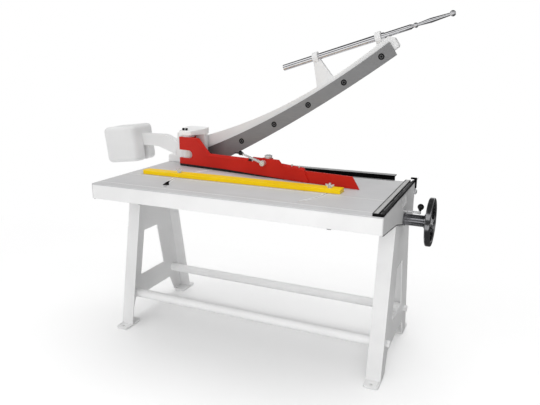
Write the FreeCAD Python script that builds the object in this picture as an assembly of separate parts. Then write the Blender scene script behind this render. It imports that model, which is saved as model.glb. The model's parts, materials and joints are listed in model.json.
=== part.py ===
import FreeCAD, Part
import math
import os

V = FreeCAD.Vector

# All sizes are in millimetres. X runs along the table to the right, Y to the back, Z up.
# The origin lies on the floor, midway between the four anchor holes of the feet.
# Table positions are given from the table's left end, its front face and its top surface.

# Table
table_length = 1290.0
table_depth = 627.0
table_height = 738.0
plate = 6.0
sheet = 3.0
apron_height = 68.0
apron_lip = 25.0
side_plate_mid_y = 250.0
side_plate_mid_drop = 95.0
side_plate_rear_inset = 27.0
side_plate_rear_drop = 185.0
rear_beam_width = 30.0
rear_beam_depth = 60.0
rib_thickness = 6.0
rib_depth = 50.0
rib_left_inset = 95.0
rib_slot_gap = 121.0
scribe_places = (50.0, 240.0)
scribe_width = 1.2
scribe_depth = 0.6
edge_round = 2.5

# Stand
stand_middle_y = 400.0
leg_width = 62.0
leg_sheet = 5.0
leg_foot_y = 136.0
leg_slope = 0.1885
leg_toe_depth = 72.0
foot_thickness = 10.0
foot_length = 119.0
foot_front_y = 87.0
foot_corner = 14.0
anchor_hole_radius = 6.5
anchor_inset = 21.0
window_bottom = 203.0
window_top = 426.0
window_bottom_inset = 127.0
window_top_inset = 130.0
tie_bottom = 97.0
tie_bottom_inset = 94.0
tube_radius = 21.0
tube_wall = 3.0
tube_plug = 24.0
tube_inset = 55.0
tube_height = 144.0
tie_bolt_radius = 9.0
tie_head_flats = 27.0
tie_head_height = 14.0

# Lower blade
lower_blade_left = 178.0
lower_blade_margin = 92.0
lower_blade_thickness = 20.0
lower_blade_depth = 60.0
lower_blade_overhang = 5.0
lower_screw_radius = 5.0
lower_screw_head = 9.5
lower_screw_count = 6
lower_screw_drop = 30.0

# Pivot housing
pivot_x = 130.0
pivot_height = 98.0
shaft_radius = 20.0
hub_radius = 54.0
boss_radius = 42.0
pedestal_right = 225.0
pedestal_thickness = 35.0
pedestal_foot_height = 40.0
pedestal_shoulder = 50.0
pedestal_top_left = 62.0
cap_underside = 157.0
cap_front_thickness = 21.0
cap_rear_thickness = 33.0
cap_front_width = 68.0
cap_left = 97.0
cap_flank_inset = 24.0
cap_rear_gap = 0.8
cap_bolt_radius = 4.0
cap_bolt_head_radius = 6.5
cap_bolt_head_height = 13.0
cap_bolt_spacing = 18.0
cap_bolt_setback = 14.0
cap_bolt_shift = 7.0
pedestal_bolt_radius = 6.0
pedestal_bolt_places = (25.0, 110.0, 195.0)

# Hold-down beam, in its own frame: along the beam, back through it, and up from the table
beam_corner_x = 120.0
beam_corner_inset = 106.0
beam_turn = -9.0
beam_thickness = 15.0
post_along = 28.0
post_back = 40.0
post_radius = 33.0
post_spigot_radius = 14.0
post_spigot = 14.0
sleeve_radius = 39.0
block_height = 148.0
block_length = 121.0
slope_end = 190.0
beam_height = 78.0
beam_raise = 12.0
beam_raise_end = 300.0
beam_ground = 720.0
beam_foot = 0.5
beam_end_run = 36.0
beam_end_lean = 32.0
beam_end_height = 65.0
notch_from_end = 296.0
notch_length = 31.0
notch_floor = 66.0
boss_from_end = 250.0
boss_length = 126.0
boss_height = 89.0
bump_thickness = 6.0
boss_slope = 16.0
boss_foot_height = 72.0
fork_bottom = 42.0
fork_top = 83.0
fork_depth = 83.0
beam_chamfer = 10.0
tip_gap = 10.0
tip_run = 237.0
tip_end_lean = 34.0
tip_height = 53.0
tip_thickness = 8.0
tip_inset = 5.0
tip_screw_insets = (58.0, 20.0)
tip_screw_radius = 2.5
pad_start = 0.0
pad_inset = 3.0
clamp_from_end = 204.0
clamp_up = 67.0
clamp_shaft_radius = 6.0
clamp_hub_radius = 13.5
clamp_hub_length = 20.0
clamp_head_radius = 12.0
clamp_head_length = 8.0
clamp_arm_length = 126.0
clamp_arm_angle = 164.0
clamp_arm_root_radius = 7.0
clamp_arm_radius = 4.5
clamp_knob_radius = 11.0
clamp_knob_tip = 33.0
nut_from_end = 188.0
nut_back = 15.0
nut_radius = 17.0
nut_height = 11.0
nut_crown = 5.0
nut_shank_radius = 5.0
nut_shank_length = 40.0

# Fence that swings about a point inside two curved slots
fence_centre_x = 633.0
fence_centre_y = 289.5
fence_slot_radius = 366.0
fence_slot_width = 11.0
fence_slot_half_angle = 33.5
fence_left = 73.0
fence_right = 1052.0
fence_width = 55.0
fence_thickness = 18.0
fence_stud_radius = 5.0
fence_head_radius = 12.0
fence_head_thickness = 5.0
fence_corner = 18.0
wing_hub_radius = 8.0
wing_hub_height = 11.0
wing_span = 18.0
wing_height = 15.0
wing_thickness = 5.0

# Side rail on the right end of the table
rail_width = 41.0
rail_height = 11.0
rail_setback = 9.0
rail_lip = 4.0
scale_width = 16.0
scale_thickness = 2.0
groove_width = 9.0
groove_depth = 6.0
groove_gap = 2.5
rail_clamp_lug = 9.0
rail_clamp_hub_radius = 6.5
rail_clamp_hub_height = 34.0
rail_clamp_arm_length = 21.0
rail_clamp_stud_radius = 5.0
rail_clamp_stud_length = 22.0

# Lever, blade and counterweight, in the lever's own frame.
# Its origin is the middle of the fourth blade bolt, its first axis the blade's direction there.
blade_gap = 0.3
blade_thickness = 12.0
arm_thickness = 40.0
blade_angle = 33.4
blade_origin_from_pivot_x = 810.5
blade_origin_from_pivot_z = 332.0
blade_waist = 61.0
cutting_edge_radius = 7000.0
blade_back_radius = 4100.0
bolt_line_radius = 4940.0
bolt_pitch = 201.0
bolt_count = 6
bolts_before_origin = 4
bolt_head_radius = 14.0
bolt_shank_radius = 8.0
blade_end_margin = 60.0
arm_back_height = 50.0
arm_back_radius = 2600.0
arm_under_height = -8.0
arm_under_radius = 4600.0
arm_end = 287.0
arm_nose_slope = 20.0
arm_nose_cut = 7.0
tail_neck_x = -40.0
tail_neck_z = -26.0
tail_bend_x = -181.0
tail_bend_z = 35.5
tail_under_bend_x = -228.0
tail_under_bend_z = -29.0
tail_heel_x = -120.0
tail_heel_z = -65.0
tail_bend_radius = 90.0
tail_end_x = -430.0
tail_depth = 60.0
weight_length = 212.0
weight_width = 180.0
weight_height = 197.0
weight_x = -430.0
weight_z = -26.5
weight_tilt = 7.0
weight_round = 26.0
weight_slot_depth = 45.0
weight_screw_radius = 8.0

# Handle
eye_angle = 16.8
near_eye_x = 664.0
near_eye_z = 441.5
eye_spacing = 301.0
eye_outer_radius = 25.0
eye_length = 26.0
near_foot_from = -134.0
near_foot_to = -36.0
far_foot_from = 198.0
far_foot_to = 262.0
handle_radius = 14.5
handle_wall = 3.0
tube_before_eye = 168.0
tube_after_eye = 28.0
handle_rod_radius = 11.4
rod_inside = 330.0
rod_outside = 114.0
collar_ball_radius = 11.5
grip_length = 137.0
grip_thin_radius = 6.5
grip_thick_radius = 10.5
end_ball_radius = 13.0
eye_screw_radius = 5.0

# Back gauge, its drive and the handwheel
gauge_distance = 73.0
gauge_left = 185.0
gauge_length = 1000.0
gauge_leg = 40.0
gauge_wall = 5.0
gauge_above_table = 7.0
drive_y = 400.0
drive_drop = 111.0
drive_shaft_radius = 10.0
tooth_module = 2.5
pinion_teeth = 16
pinion_width = 20.0
rack_places = (200.0, 1070.0)
rack_front_y = 60.0
rack_width = 16.0
rack_body = 14.0
tooth_backlash = 0.5
front_guide_y = 330.0
rear_guide_inset = 82.0
guide_wall = 8.0
guide_length = 30.0
bearing_radius = 24.0
bearing_length = 84.0
wheel_radius = 101.0
rim_width = 22.0
rim_depth = 20.0
rim_corner = 5.0
wheel_hub_radius = 19.0
wheel_hub_length = 26.0
wheel_boss_radius = 29.0
wheel_boss_length = 7.0
wheel_dish = 24.0
spoke_count = 3
lock_y = 385.0
lock_drop = 73.0
lock_radius = 5.0
lock_out = 66.0
lock_arm = 28.0
lock_ball_radius = 13.0
side_window_y = (340.0, 445.0)
side_window_drop = (12.0, 54.0)

# Fits
running_gap = 0.05
flat_gap = 0.3
hole_gap = 0.5

# Places worked out from the sizes above
side_plate_rear_y = table_depth - side_plate_rear_inset
lower_blade_length = table_length - lower_blade_left - lower_blade_margin
cap_flank_y = table_depth - cap_flank_inset
beam_corner_y = table_depth - beam_corner_inset
gauge_front_y = table_depth + gauge_distance
guide_places = (front_guide_y, table_depth - rear_guide_inset)
rib_places = (rib_left_inset, fence_centre_x, fence_centre_x + fence_slot_radius + rib_slot_gap)
notch_start = beam_ground - notch_from_end
notch_end = notch_start + notch_length
boss_start = beam_ground - boss_from_end
boss_end = boss_start + boss_length
boss_foot = boss_end + boss_slope
clamp_along = beam_ground - clamp_from_end
nut_along = beam_ground - nut_from_end
tip_screw_places = [beam_ground - inset for inset in tip_screw_insets]
rail_length = table_depth - rail_setback
rail_clamp_y = table_depth + rail_clamp_lug
beam_end_bottom = beam_ground + beam_end_run
beam_end_top = beam_end_bottom - beam_end_lean
tip_start = boss_foot + tip_gap
tip_end_bottom = beam_end_bottom + tip_run
tip_end_top = tip_end_bottom - tip_end_lean
left = -table_length / 2
right = table_length / 2
front = -stand_middle_y
top = table_height
under = top - plate
rear = front + table_depth
shear_y = rear + lower_blade_overhang
leg_top = under
stand_left = left + sheet
stand_right = right - sheet
arm_front_y = shear_y + blade_gap + blade_thickness
cap_rear_y = arm_front_y - front - cap_rear_gap
arm_back_y = arm_front_y + arm_thickness
arm_middle_y = (arm_front_y + arm_back_y) / 2
pivot_point_x = left + pivot_x
pivot_point_z = top + pivot_height
post_top = cap_underside
blade_origin_x = pivot_point_x + blade_origin_from_pivot_x
blade_origin_z = pivot_point_z + blade_origin_from_pivot_z
gauge_back_y = front + gauge_front_y + gauge_leg
drive_z = top - drive_drop
pitch_radius = tooth_module * pinion_teeth / 2


def box(x0, x1, y0, y1, z0, z1):
    return Part.makeBox(x1 - x0, y1 - y0, z1 - z0, V(x0, y0, z0))


def rod(start, end, radius):
    run = end - start
    return Part.makeCylinder(radius, run.Length, start, run)


def face_of(points):
    return Part.Face(Part.makePolygon(points + [points[0]]))


def prism_x(points, x0, x1):
    return face_of([V(x0, y, z) for y, z in points]).extrude(V(x1 - x0, 0, 0))


def prism_y(points, y0, y1):
    return face_of([V(x, y0, z) for x, z in points]).extrude(V(0, y1 - y0, 0))


def prism_z(points, z0, z1):
    return face_of([V(x, y, z0) for x, y in points]).extrude(V(0, 0, z1 - z0))


def edges_where(shape, test):
    return [edge for edge in shape.Edges if test(edge.BoundBox)]


def upright(bounds):
    return bounds.ZLength > 1 and bounds.XLength < 0.01 and bounds.YLength < 0.01


def hexagon(centre, axis, flats, height):
    corner = flats / math.sqrt(3)
    points = []
    for step in range(6):
        angle = math.radians(60 * step)
        points.append(V(corner * math.cos(angle), corner * math.sin(angle), 0))
    solid = face_of(points).extrude(V(0, 0, height))
    solid.Placement = FreeCAD.Placement(centre, FreeCAD.Rotation(V(0, 0, 1), axis))
    return solid


def socket_screw(under_head, axis, radius, length, head_radius, head_height):
    shank = rod(under_head, under_head - axis * length, radius)
    head = rod(under_head, under_head + axis * head_height, head_radius)
    depth = head_height * 0.6
    socket = hexagon(under_head + axis * (head_height - depth), axis, radius * 1.5, depth + 1)
    return shank.fuse(head).cut(socket)


def group(shapes):
    return Part.makeCompound(shapes)


# Table plate, apron, side plates and the beam under the rear edge
def slot_arc(angle):
    centre = V(left + fence_centre_x, front + fence_centre_y, under - 1)
    wide = fence_slot_radius + fence_slot_width / 2
    narrow = fence_slot_radius - fence_slot_width / 2
    sweep = 2 * fence_slot_half_angle
    height = plate + 2
    outer = Part.makeCylinder(wide, height, V(0, 0, 0), V(0, 0, 1), sweep)
    inner = Part.makeCylinder(narrow, height, V(0, 0, 0), V(0, 0, 1), sweep)
    arc = outer.cut(inner)
    for end in (0, sweep):
        turn = math.radians(end)
        spot = V(fence_slot_radius * math.cos(turn), fence_slot_radius * math.sin(turn), 0)
        arc = arc.fuse(Part.makeCylinder(fence_slot_width / 2, height, spot))
    arc.Placement = FreeCAD.Placement(centre, FreeCAD.Rotation(angle - sweep / 2, 0, 0))
    return arc


def pedestal_bolt_axis_y():
    return shear_y - lower_blade_thickness - pedestal_bolt_radius - 3


def table_top():
    body = box(left, right, front, rear, under, top)
    long_edges = edges_where(body, lambda b: b.XLength > 1 and b.YMax < front + 1 and b.ZMin > top - 1)
    body = body.makeFillet(edge_round, long_edges)
    blade_right = left + lower_blade_left + lower_blade_length
    notch = box(left + lower_blade_left, blade_right, shear_y - lower_blade_thickness, rear + 1,
                under - 1, top + 1)
    body = body.cut(notch)
    body = body.cut(slot_arc(0)).cut(slot_arc(180))
    for place in scribe_places:
        y = front + place
        body = body.cut(box(left - 1, right - rail_width, y, y + scribe_width, top - scribe_depth, top + 1))
    for place in pedestal_bolt_places:
        spot = V(left + place, pedestal_bolt_axis_y(), under - 1)
        body = body.cut(Part.makeCylinder(pedestal_bolt_radius + hole_gap, plate + 2, spot))
    spot = post_centre(under - 1 - top)
    return body.cut(Part.makeCylinder(post_spigot_radius + running_gap, plate + 2, spot))


def front_apron():
    bottom = top - apron_height
    outline = [(front, under), (front, bottom), (front + apron_lip, bottom),
               (front + apron_lip, bottom + sheet), (front + sheet, bottom + sheet),
               (front + sheet, under - sheet), (front + apron_lip, under - sheet),
               (front + apron_lip, under)]
    return prism_x(outline, stand_left, stand_right)


def side_plate(x0):
    outline = [(front, under), (front, top - apron_height),
               (front + side_plate_mid_y, top - side_plate_mid_drop),
               (front + side_plate_rear_y, top - side_plate_rear_drop),
               (rear, top - side_plate_rear_drop), (rear, under)]
    return prism_x(outline, x0, x0 + sheet)


def side_openings():
    shaft_hole = rod(V(right - 50, front + drive_y, drive_z), V(right + 10, front + drive_y, drive_z),
                     drive_shaft_radius + hole_gap)
    lock_hole = rod(V(right - 50, front + lock_y, top - lock_drop),
                    V(right + 10, front + lock_y, top - lock_drop), lock_radius + running_gap)
    window = box(right - 50, right + 10, front + side_window_y[0], front + side_window_y[1],
                 top - side_window_drop[1], top - side_window_drop[0])
    return [shaft_hole, lock_hole, window]


def left_side_plate():
    return side_plate(left)


def right_side_plate():
    body = side_plate(right - sheet)
    for hole in side_openings():
        body = body.cut(hole)
    return body


def rear_beam_front():
    return shear_y - lower_blade_thickness - rear_beam_width


def rear_beam():
    y0 = rear_beam_front()
    body = box(stand_left, stand_right, y0, y0 + rear_beam_width, under - rear_beam_depth, under)
    for spot in lower_screw_spots():
        hole = rod(V(spot.x, y0 + 4, spot.z), V(spot.x, y0 + rear_beam_width + 1, spot.z),
                   lower_screw_radius + running_gap)
        body = body.cut(hole)
    for place in pedestal_bolt_places:
        spot = V(left + place, pedestal_bolt_axis_y(), under - rear_beam_depth - 1)
        body = body.cut(Part.makeCylinder(pedestal_bolt_radius + hole_gap, rear_beam_depth + 2, spot))
    return body


def table_ribs():
    ribs = []
    for place in rib_places:
        x = left + place
        ribs.append(box(x - rib_thickness / 2, x + rib_thickness / 2, front + apron_lip,
                        rear_beam_front(), under - rib_depth, under))
    return group(ribs)


# Lower blade and its countersunk screws
def lower_screw_spots():
    pitch = lower_blade_length / lower_screw_count
    first = left + lower_blade_left + pitch / 2
    return [V(first + pitch * step, shear_y, top - lower_screw_drop) for step in range(lower_screw_count)]


def countersink(spot, head, shank, gap):
    depth = head - shank
    cone = Part.makeCone(shank + gap, head + gap, depth, spot - V(0, depth + 0.6, 0), V(0, 1, 0))
    mouth = rod(spot - V(0, 0.6, 0), spot + V(0, 1, 0), head + gap)
    return cone.fuse(mouth)


def lower_blade():
    x0 = left + lower_blade_left
    y0 = shear_y - lower_blade_thickness
    body = box(x0, x0 + lower_blade_length, y0, shear_y, top - lower_blade_depth, top)
    for spot in lower_screw_spots():
        body = body.cut(rod(spot - V(0, lower_blade_thickness + 1, 0), spot, lower_screw_radius + running_gap))
        body = body.cut(countersink(spot, lower_screw_head, lower_screw_radius, running_gap))
    return body


def lower_blade_screws():
    screws = []
    depth = lower_screw_head - lower_screw_radius
    for spot in lower_screw_spots():
        face = spot - V(0, 0.6, 0)
        head = Part.makeCone(lower_screw_head, lower_screw_radius, depth, face, V(0, -1, 0))
        shank = rod(face - V(0, depth, 0), face - V(0, lower_blade_thickness + 20, 0), lower_screw_radius)
        socket = hexagon(face - V(0, 3, 0), V(0, 1, 0), lower_screw_radius, 4)
        screws.append(head.fuse(shank).cut(socket))
    return group(screws)


# Stand: two sloping leg frames of folded sheet, their feet and the two cross tubes
def leg_line(z):
    return leg_foot_y - foot_thickness * leg_slope + z * leg_slope


def mirror_depth(points, at_front):
    if at_front:
        return [(front + y, z) for y, z in points]
    return [(front + 2 * stand_middle_y - y, z) for y, z in points]


def window_corner(z):
    share = (z - window_bottom) / (window_top - window_bottom)
    return leg_line(z) + window_bottom_inset + share * (window_top_inset - window_bottom_inset)


def leg(on_left, at_front):
    web = [(leg_line(foot_thickness), foot_thickness),
           (leg_line(foot_thickness) + leg_toe_depth, foot_thickness),
           (leg_line(tie_bottom) + tie_bottom_inset, tie_bottom),
           (window_corner(window_bottom), window_bottom),
           (window_corner(window_top), window_top),
           (window_corner(window_top), leg_top),
           (leg_line(leg_top), leg_top)]
    flange = [(leg_line(foot_thickness), foot_thickness),
              (leg_line(foot_thickness) + leg_sheet, foot_thickness),
              (leg_line(leg_top) + leg_sheet, leg_top),
              (leg_line(leg_top), leg_top)]
    if on_left:
        web_x = (stand_left, stand_left + leg_sheet)
        flange_x = (stand_left, stand_left + leg_width)
    else:
        web_x = (stand_right - leg_sheet, stand_right)
        flange_x = (stand_right - leg_width, stand_right)
    body = prism_x(mirror_depth(web, at_front), web_x[0], web_x[1])
    body = body.fuse(prism_x(mirror_depth(flange, at_front), flange_x[0], flange_x[1])).removeSplitter()
    y = tube_axis_y(at_front)
    hole = rod(V(web_x[0] - 1, y, tube_height), V(web_x[1] + 1, y, tube_height), tie_bolt_radius + hole_gap)
    return body.cut(hole)


def tie_plate(on_left, points):
    if on_left:
        return prism_x(points, stand_left, stand_left + leg_sheet)
    return prism_x(points, stand_right - leg_sheet, stand_right)


def upper_tie(on_left):
    y0 = front + window_corner(window_top)
    y1 = front + 2 * stand_middle_y - window_corner(window_top)
    body = tie_plate(on_left, [(y0, window_top), (y1, window_top), (y1, leg_top), (y0, leg_top)])
    if on_left:
        spot = V(stand_left - 1, front + drive_y, drive_z)
        return body.cut(rod(spot, spot + V(leg_sheet + 2, 0, 0), drive_shaft_radius + running_gap))
    for hole in side_openings():
        body = body.cut(hole)
    return body


def lower_tie(on_left):
    low = leg_line(tie_bottom) + tie_bottom_inset
    high = window_corner(window_bottom)
    far = 2 * stand_middle_y
    return tie_plate(on_left, [(front + low, tie_bottom), (front + far - low, tie_bottom),
                               (front + far - high, window_bottom), (front + high, window_bottom)])


def foot_plates():
    feet = []
    for x0 in (stand_left, stand_right - leg_width):
        for at_front in (True, False):
            ends = mirror_depth([(foot_front_y, 0), (foot_front_y + foot_length, 0)], at_front)
            y0 = min(ends[0][0], ends[1][0])
            foot = box(x0, x0 + leg_width, y0, y0 + foot_length, 0, foot_thickness)
            foot = foot.makeFillet(foot_corner, edges_where(foot, upright))
            hole_y = mirror_depth([(foot_front_y + anchor_inset, 0)], at_front)[0][0]
            hole = Part.makeCylinder(anchor_hole_radius, foot_thickness + 2, V(x0 + leg_width / 2, hole_y, -1))
            feet.append(foot.cut(hole))
    return group(feet)


def tube_axis_y(at_front):
    return mirror_depth([(leg_line(tube_height) + tube_inset, 0)], at_front)[0][0]


def tie_tubes():
    tubes = []
    x0 = stand_left + leg_sheet
    x1 = stand_right - leg_sheet
    for at_front in (True, False):
        y = tube_axis_y(at_front)
        body = rod(V(x0, y, tube_height), V(x1, y, tube_height), tube_radius)
        bore = rod(V(x0 + tube_plug, y, tube_height), V(x1 - tube_plug, y, tube_height), tube_radius - tube_wall)
        thread = rod(V(x0 - 1, y, tube_height), V(x1 + 1, y, tube_height), tie_bolt_radius + running_gap)
        tubes.append(body.cut(bore.fuse(thread)))
    return group(tubes)


def tie_bolts():
    bolts = []
    reach = leg_sheet + tube_plug + 6
    for at_front in (True, False):
        y = tube_axis_y(at_front)
        for x, way in ((stand_left, -1), (stand_right, 1)):
            seat = V(x, y, tube_height)
            head = hexagon(seat, V(way, 0, 0), tie_head_flats, tie_head_height)
            bolts.append(head.fuse(rod(seat, seat - V(way * reach, 0, 0), tie_bolt_radius)))
    return group(bolts)


# Pivot pedestal, guide post and the cap that ties them together
def pedestal_y():
    return (shear_y - 1 - pedestal_thickness, shear_y - 1)


def pivot_pedestal():
    y0, y1 = pedestal_y()
    outline = [(left, top), (left, top + pedestal_foot_height - 8), (left + 8, top + pedestal_foot_height),
               (left + pedestal_shoulder, top + pedestal_foot_height),
               (left + pedestal_top_left, top + cap_underside),
               (left + pedestal_right, top + cap_underside), (left + pedestal_right, top)]
    body = prism_y(outline, y0, y1)
    body = body.makeFillet(4, edges_where(body, lambda b: b.YLength < 0.01 and b.YMax < y0 + 1
                                          and b.ZMax < top + cap_underside - 1 and b.ZMin > top + 1))
    bore = rod(V(pivot_point_x, y0 + 6, pivot_point_z), V(pivot_point_x, y1 + 1, pivot_point_z),
               shaft_radius + running_gap)
    body = body.cut(bore)
    for place in pedestal_bolt_places:
        spot = V(left + place, pedestal_bolt_axis_y(), top - 1)
        body = body.cut(Part.makeCylinder(pedestal_bolt_radius + running_gap, 27, spot))
    return body


def pedestal_bolts():
    bolts = []
    for place in pedestal_bolt_places:
        seat = V(left + place, pedestal_bolt_axis_y(), under - rear_beam_depth)
        head = hexagon(seat, V(0, 0, -1), 3 * pedestal_bolt_radius, 8)
        bolts.append(head.fuse(rod(seat, seat + V(0, 0, rear_beam_depth + plate + 24), pedestal_bolt_radius)))
    return group(bolts)


def beam_place(along, back, up):
    angle = math.radians(beam_turn)
    x = left + beam_corner_x + along * math.cos(angle) - back * math.sin(angle)
    y = front + beam_corner_y + along * math.sin(angle) + back * math.cos(angle)
    return V(x, y, top + up)


def post_centre(up):
    return beam_place(post_along, post_back, up)


def cap_front_y():
    return post_centre(0).y - post_radius - 1


def guide_post():
    body = rod(post_centre(0), post_centre(post_top), post_radius)
    body = body.fuse(rod(post_centre(0), post_centre(-plate - post_spigot), post_spigot_radius))
    for spot in cap_bolt_spots():
        body = body.cut(rod(spot - V(0, 0, 26), spot + V(0, 0, 1), cap_bolt_radius + running_gap))
    return body


def cap_bolt_spots():
    middle = post_centre(cap_underside)
    x = middle.x - cap_bolt_shift
    y = middle.y - post_radius + cap_bolt_setback
    return [V(x + way * cap_bolt_spacing / 2, y, middle.z) for way in (-1, 1)]


def cap_height(y):
    share = (y - cap_front_y()) / (front + cap_rear_y - cap_front_y())
    return cap_front_thickness + share * (cap_rear_thickness - cap_front_thickness)


def pivot_cap():
    middle = post_centre(0).x
    y0 = cap_front_y()
    y1 = front + cap_flank_y
    y2 = front + cap_rear_y
    low = top + cap_underside
    plan = [(middle - cap_front_width / 2, y0), (middle + cap_front_width / 2, y0),
            (left + pedestal_right, y1), (left + pedestal_right, y2), (left + cap_left, y2)]
    body = prism_z(plan, low, low + cap_rear_thickness)
    body = body.makeFillet(3, edges_where(body, upright))
    wedge = prism_x([(y0 - 1, low + cap_height(y0)), (y2 + 1, low + cap_height(y2)),
                     (y2 + 1, low + 2 * cap_rear_thickness), (y0 - 1, low + 2 * cap_rear_thickness)],
                    left - 1, left + pedestal_right + 20)
    body = body.cut(wedge)
    for spot in cap_bolt_spots():
        body = body.cut(rod(spot - V(0, 0, 1), spot + V(0, 0, 2 * cap_rear_thickness), cap_bolt_radius + hole_gap))
        seat = spot + V(0, 0, cap_front_thickness)
        body = body.cut(rod(seat, seat + V(0, 0, cap_rear_thickness), cap_bolt_head_radius + hole_gap))
    return body


def cap_bolts():
    screws = []
    for spot in cap_bolt_spots():
        seat = spot + V(0, 0, cap_front_thickness)
        screws.append(socket_screw(seat, V(0, 0, 1), cap_bolt_radius, cap_front_thickness + 20,
                                   cap_bolt_head_radius, cap_bolt_head_height))
    return group(screws)


def pivot_shaft():
    start = pedestal_y()[0] + 7
    end = arm_back_y + 34
    body = rod(V(pivot_point_x, start, pivot_point_z), V(pivot_point_x, end, pivot_point_z), shaft_radius)
    return body.makeChamfer(1.5, edges_where(body, lambda b: b.YLength < 0.01))


def pivot_bush():
    y0 = shear_y + blade_gap
    y1 = arm_back_y + 2
    outer = rod(V(pivot_point_x, y0, pivot_point_z), V(pivot_point_x, y1, pivot_point_z), shaft_radius + 5)
    return outer.cut(rod(V(pivot_point_x, y0 - 1, pivot_point_z), V(pivot_point_x, y1 + 1, pivot_point_z),
                         shaft_radius + running_gap))


def pivot_nut():
    seat = V(pivot_point_x, arm_back_y + 2 + flat_gap, pivot_point_z)
    washer = rod(seat, seat + V(0, 5, 0), shaft_radius + 15)
    nut = hexagon(seat + V(0, 5, 0), V(0, 1, 0), 58, 24)
    return washer.fuse(nut).cut(rod(seat - V(0, 1, 0), seat + V(0, 40, 0), shaft_radius + running_gap))


# Lever arm, blade, handle and counterweight
def lever_point(along, up, y):
    angle = math.radians(blade_angle)
    x = blade_origin_x + along * math.cos(angle) - up * math.sin(angle)
    z = blade_origin_z + along * math.sin(angle) + up * math.cos(angle)
    return V(x, y, z)


def rise(along, radius):
    return radius - math.sqrt(radius * radius - along * along)


def lever_arc(start, end, height, radius, y):
    middle = (start + end) / 2
    points = [lever_point(along, height + rise(along, radius), y) for along in (start, middle, end)]
    return Part.Arc(*points).toShape()


def bolt_spot(index, y):
    arc = (index - bolts_before_origin) * bolt_pitch / bolt_line_radius
    return lever_point(bolt_line_radius * math.sin(arc), bolt_line_radius * (1 - math.cos(arc)), y)


def blade_span():
    first = bolt_line_radius * math.sin(-bolts_before_origin * bolt_pitch / bolt_line_radius)
    last = (bolt_count - 1 - bolts_before_origin) * bolt_pitch
    return (first - blade_end_margin, last + blade_end_margin)


def upper_blade():
    y = shear_y + blade_gap
    start, end = blade_span()
    half = blade_waist / 2
    under_arc = lever_arc(start, end, -half, cutting_edge_radius, y)
    back_arc = lever_arc(start, end, half, blade_back_radius, y)
    corners = [lever_point(start, -half + rise(start, cutting_edge_radius), y),
               lever_point(end, -half + rise(end, cutting_edge_radius), y),
               lever_point(start, half + rise(start, blade_back_radius), y),
               lever_point(end, half + rise(end, blade_back_radius), y)]
    sides = [Part.makeLine(corners[0], corners[2]), Part.makeLine(corners[1], corners[3])]
    wire = Part.Wire(Part.__sortEdges__([under_arc, back_arc] + sides))
    body = Part.Face(wire).extrude(V(0, blade_thickness, 0))
    for index in range(bolt_count):
        spot = bolt_spot(index, y)
        depth = bolt_head_radius - bolt_shank_radius
        body = body.cut(rod(spot - V(0, 1, 0), spot + V(0, blade_thickness + 1, 0), bolt_shank_radius + running_gap))
        body = body.cut(Part.makeCone(bolt_head_radius + 0.2, bolt_shank_radius + 0.2, depth,
                                      spot + V(0, 0.8, 0), V(0, 1, 0)))
        body = body.cut(rod(spot - V(0, 1, 0), spot + V(0, 0.8, 0), bolt_head_radius + 0.2))
    return body


def blade_bolts():
    bolts = []
    depth = bolt_head_radius - bolt_shank_radius
    for index in range(bolt_count):
        spot = bolt_spot(index, shear_y + blade_gap) + V(0, 0.8, 0)
        head = Part.makeCone(bolt_head_radius, bolt_shank_radius, depth, spot, V(0, 1, 0))
        shank = rod(spot + V(0, depth, 0), spot + V(0, blade_thickness + 22, 0), bolt_shank_radius)
        socket = hexagon(spot - V(0, 1, 0), V(0, 1, 0), 9, 5)
        bolts.append(head.fuse(shank).cut(socket))
    return group(bolts)


def pivot_from(x, z):
    return V(pivot_point_x + x, arm_front_y, pivot_point_z + z)


def arm_bar():
    y = arm_front_y
    start = blade_span()[0] + 40
    end = arm_end
    back_start = lever_point(start, arm_back_height + rise(start, arm_back_radius), y)
    crest = end - arm_nose_slope
    cut = end - arm_nose_cut
    back_end = lever_point(crest, arm_back_height + rise(crest, arm_back_radius), y)
    under_start = lever_point(start, arm_under_height + rise(start, arm_under_radius), y)
    under_end = lever_point(cut, arm_under_height + rise(cut, arm_under_radius), y)
    nose_top = lever_point(end, arm_back_height + rise(crest, arm_back_radius) - arm_nose_slope, y)
    nose_low = lever_point(end, arm_under_height + rise(cut, arm_under_radius) + arm_nose_cut, y)
    edges = [lever_arc(start, crest, arm_back_height, arm_back_radius, y),
             Part.makeLine(back_end, nose_top), Part.makeLine(nose_top, nose_low),
             Part.makeLine(nose_low, under_end),
             lever_arc(start, cut, arm_under_height, arm_under_radius, y),
             Part.makeLine(under_start, back_start)]
    wire = Part.Wire(Part.__sortEdges__(edges))
    return Part.Face(wire).extrude(V(0, arm_thickness, 0))


def tail_above(x):
    share = (x - tail_end_x) / (tail_bend_x - tail_end_x)
    return tail_depth / 2 + share * (tail_bend_z - tail_depth / 2)


def tail_below(x):
    share = (x - tail_end_x) / (tail_under_bend_x - tail_end_x)
    return -tail_depth / 2 + share * (tail_under_bend_z + tail_depth / 2)


def arm_tail():
    points = [pivot_from(0, tail_neck_z), pivot_from(tail_neck_x, tail_neck_z),
              pivot_from(tail_bend_x, tail_bend_z), pivot_from(tail_end_x, tail_above(tail_end_x)),
              pivot_from(tail_end_x, tail_below(tail_end_x)),
              pivot_from(tail_under_bend_x, tail_under_bend_z), pivot_from(tail_heel_x, tail_heel_z),
              pivot_from(0, 2 - hub_radius)]
    body = face_of(points).extrude(V(0, arm_thickness, 0))
    return body.makeFillet(tail_bend_radius,
                           edges_where(body, lambda b: b.YMax > b.YMin + 1 and b.XLength < 0.01
                                       and b.XMax < pivot_point_x + tail_neck_x - 5
                                       and b.XMin > pivot_point_x + tail_end_x + 5))


def eye_axis(distance):
    angle = math.radians(eye_angle)
    x = pivot_point_x + near_eye_x + distance * math.cos(angle)
    z = pivot_point_z + near_eye_z + distance * math.sin(angle)
    return V(x, arm_middle_y, z)


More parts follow.
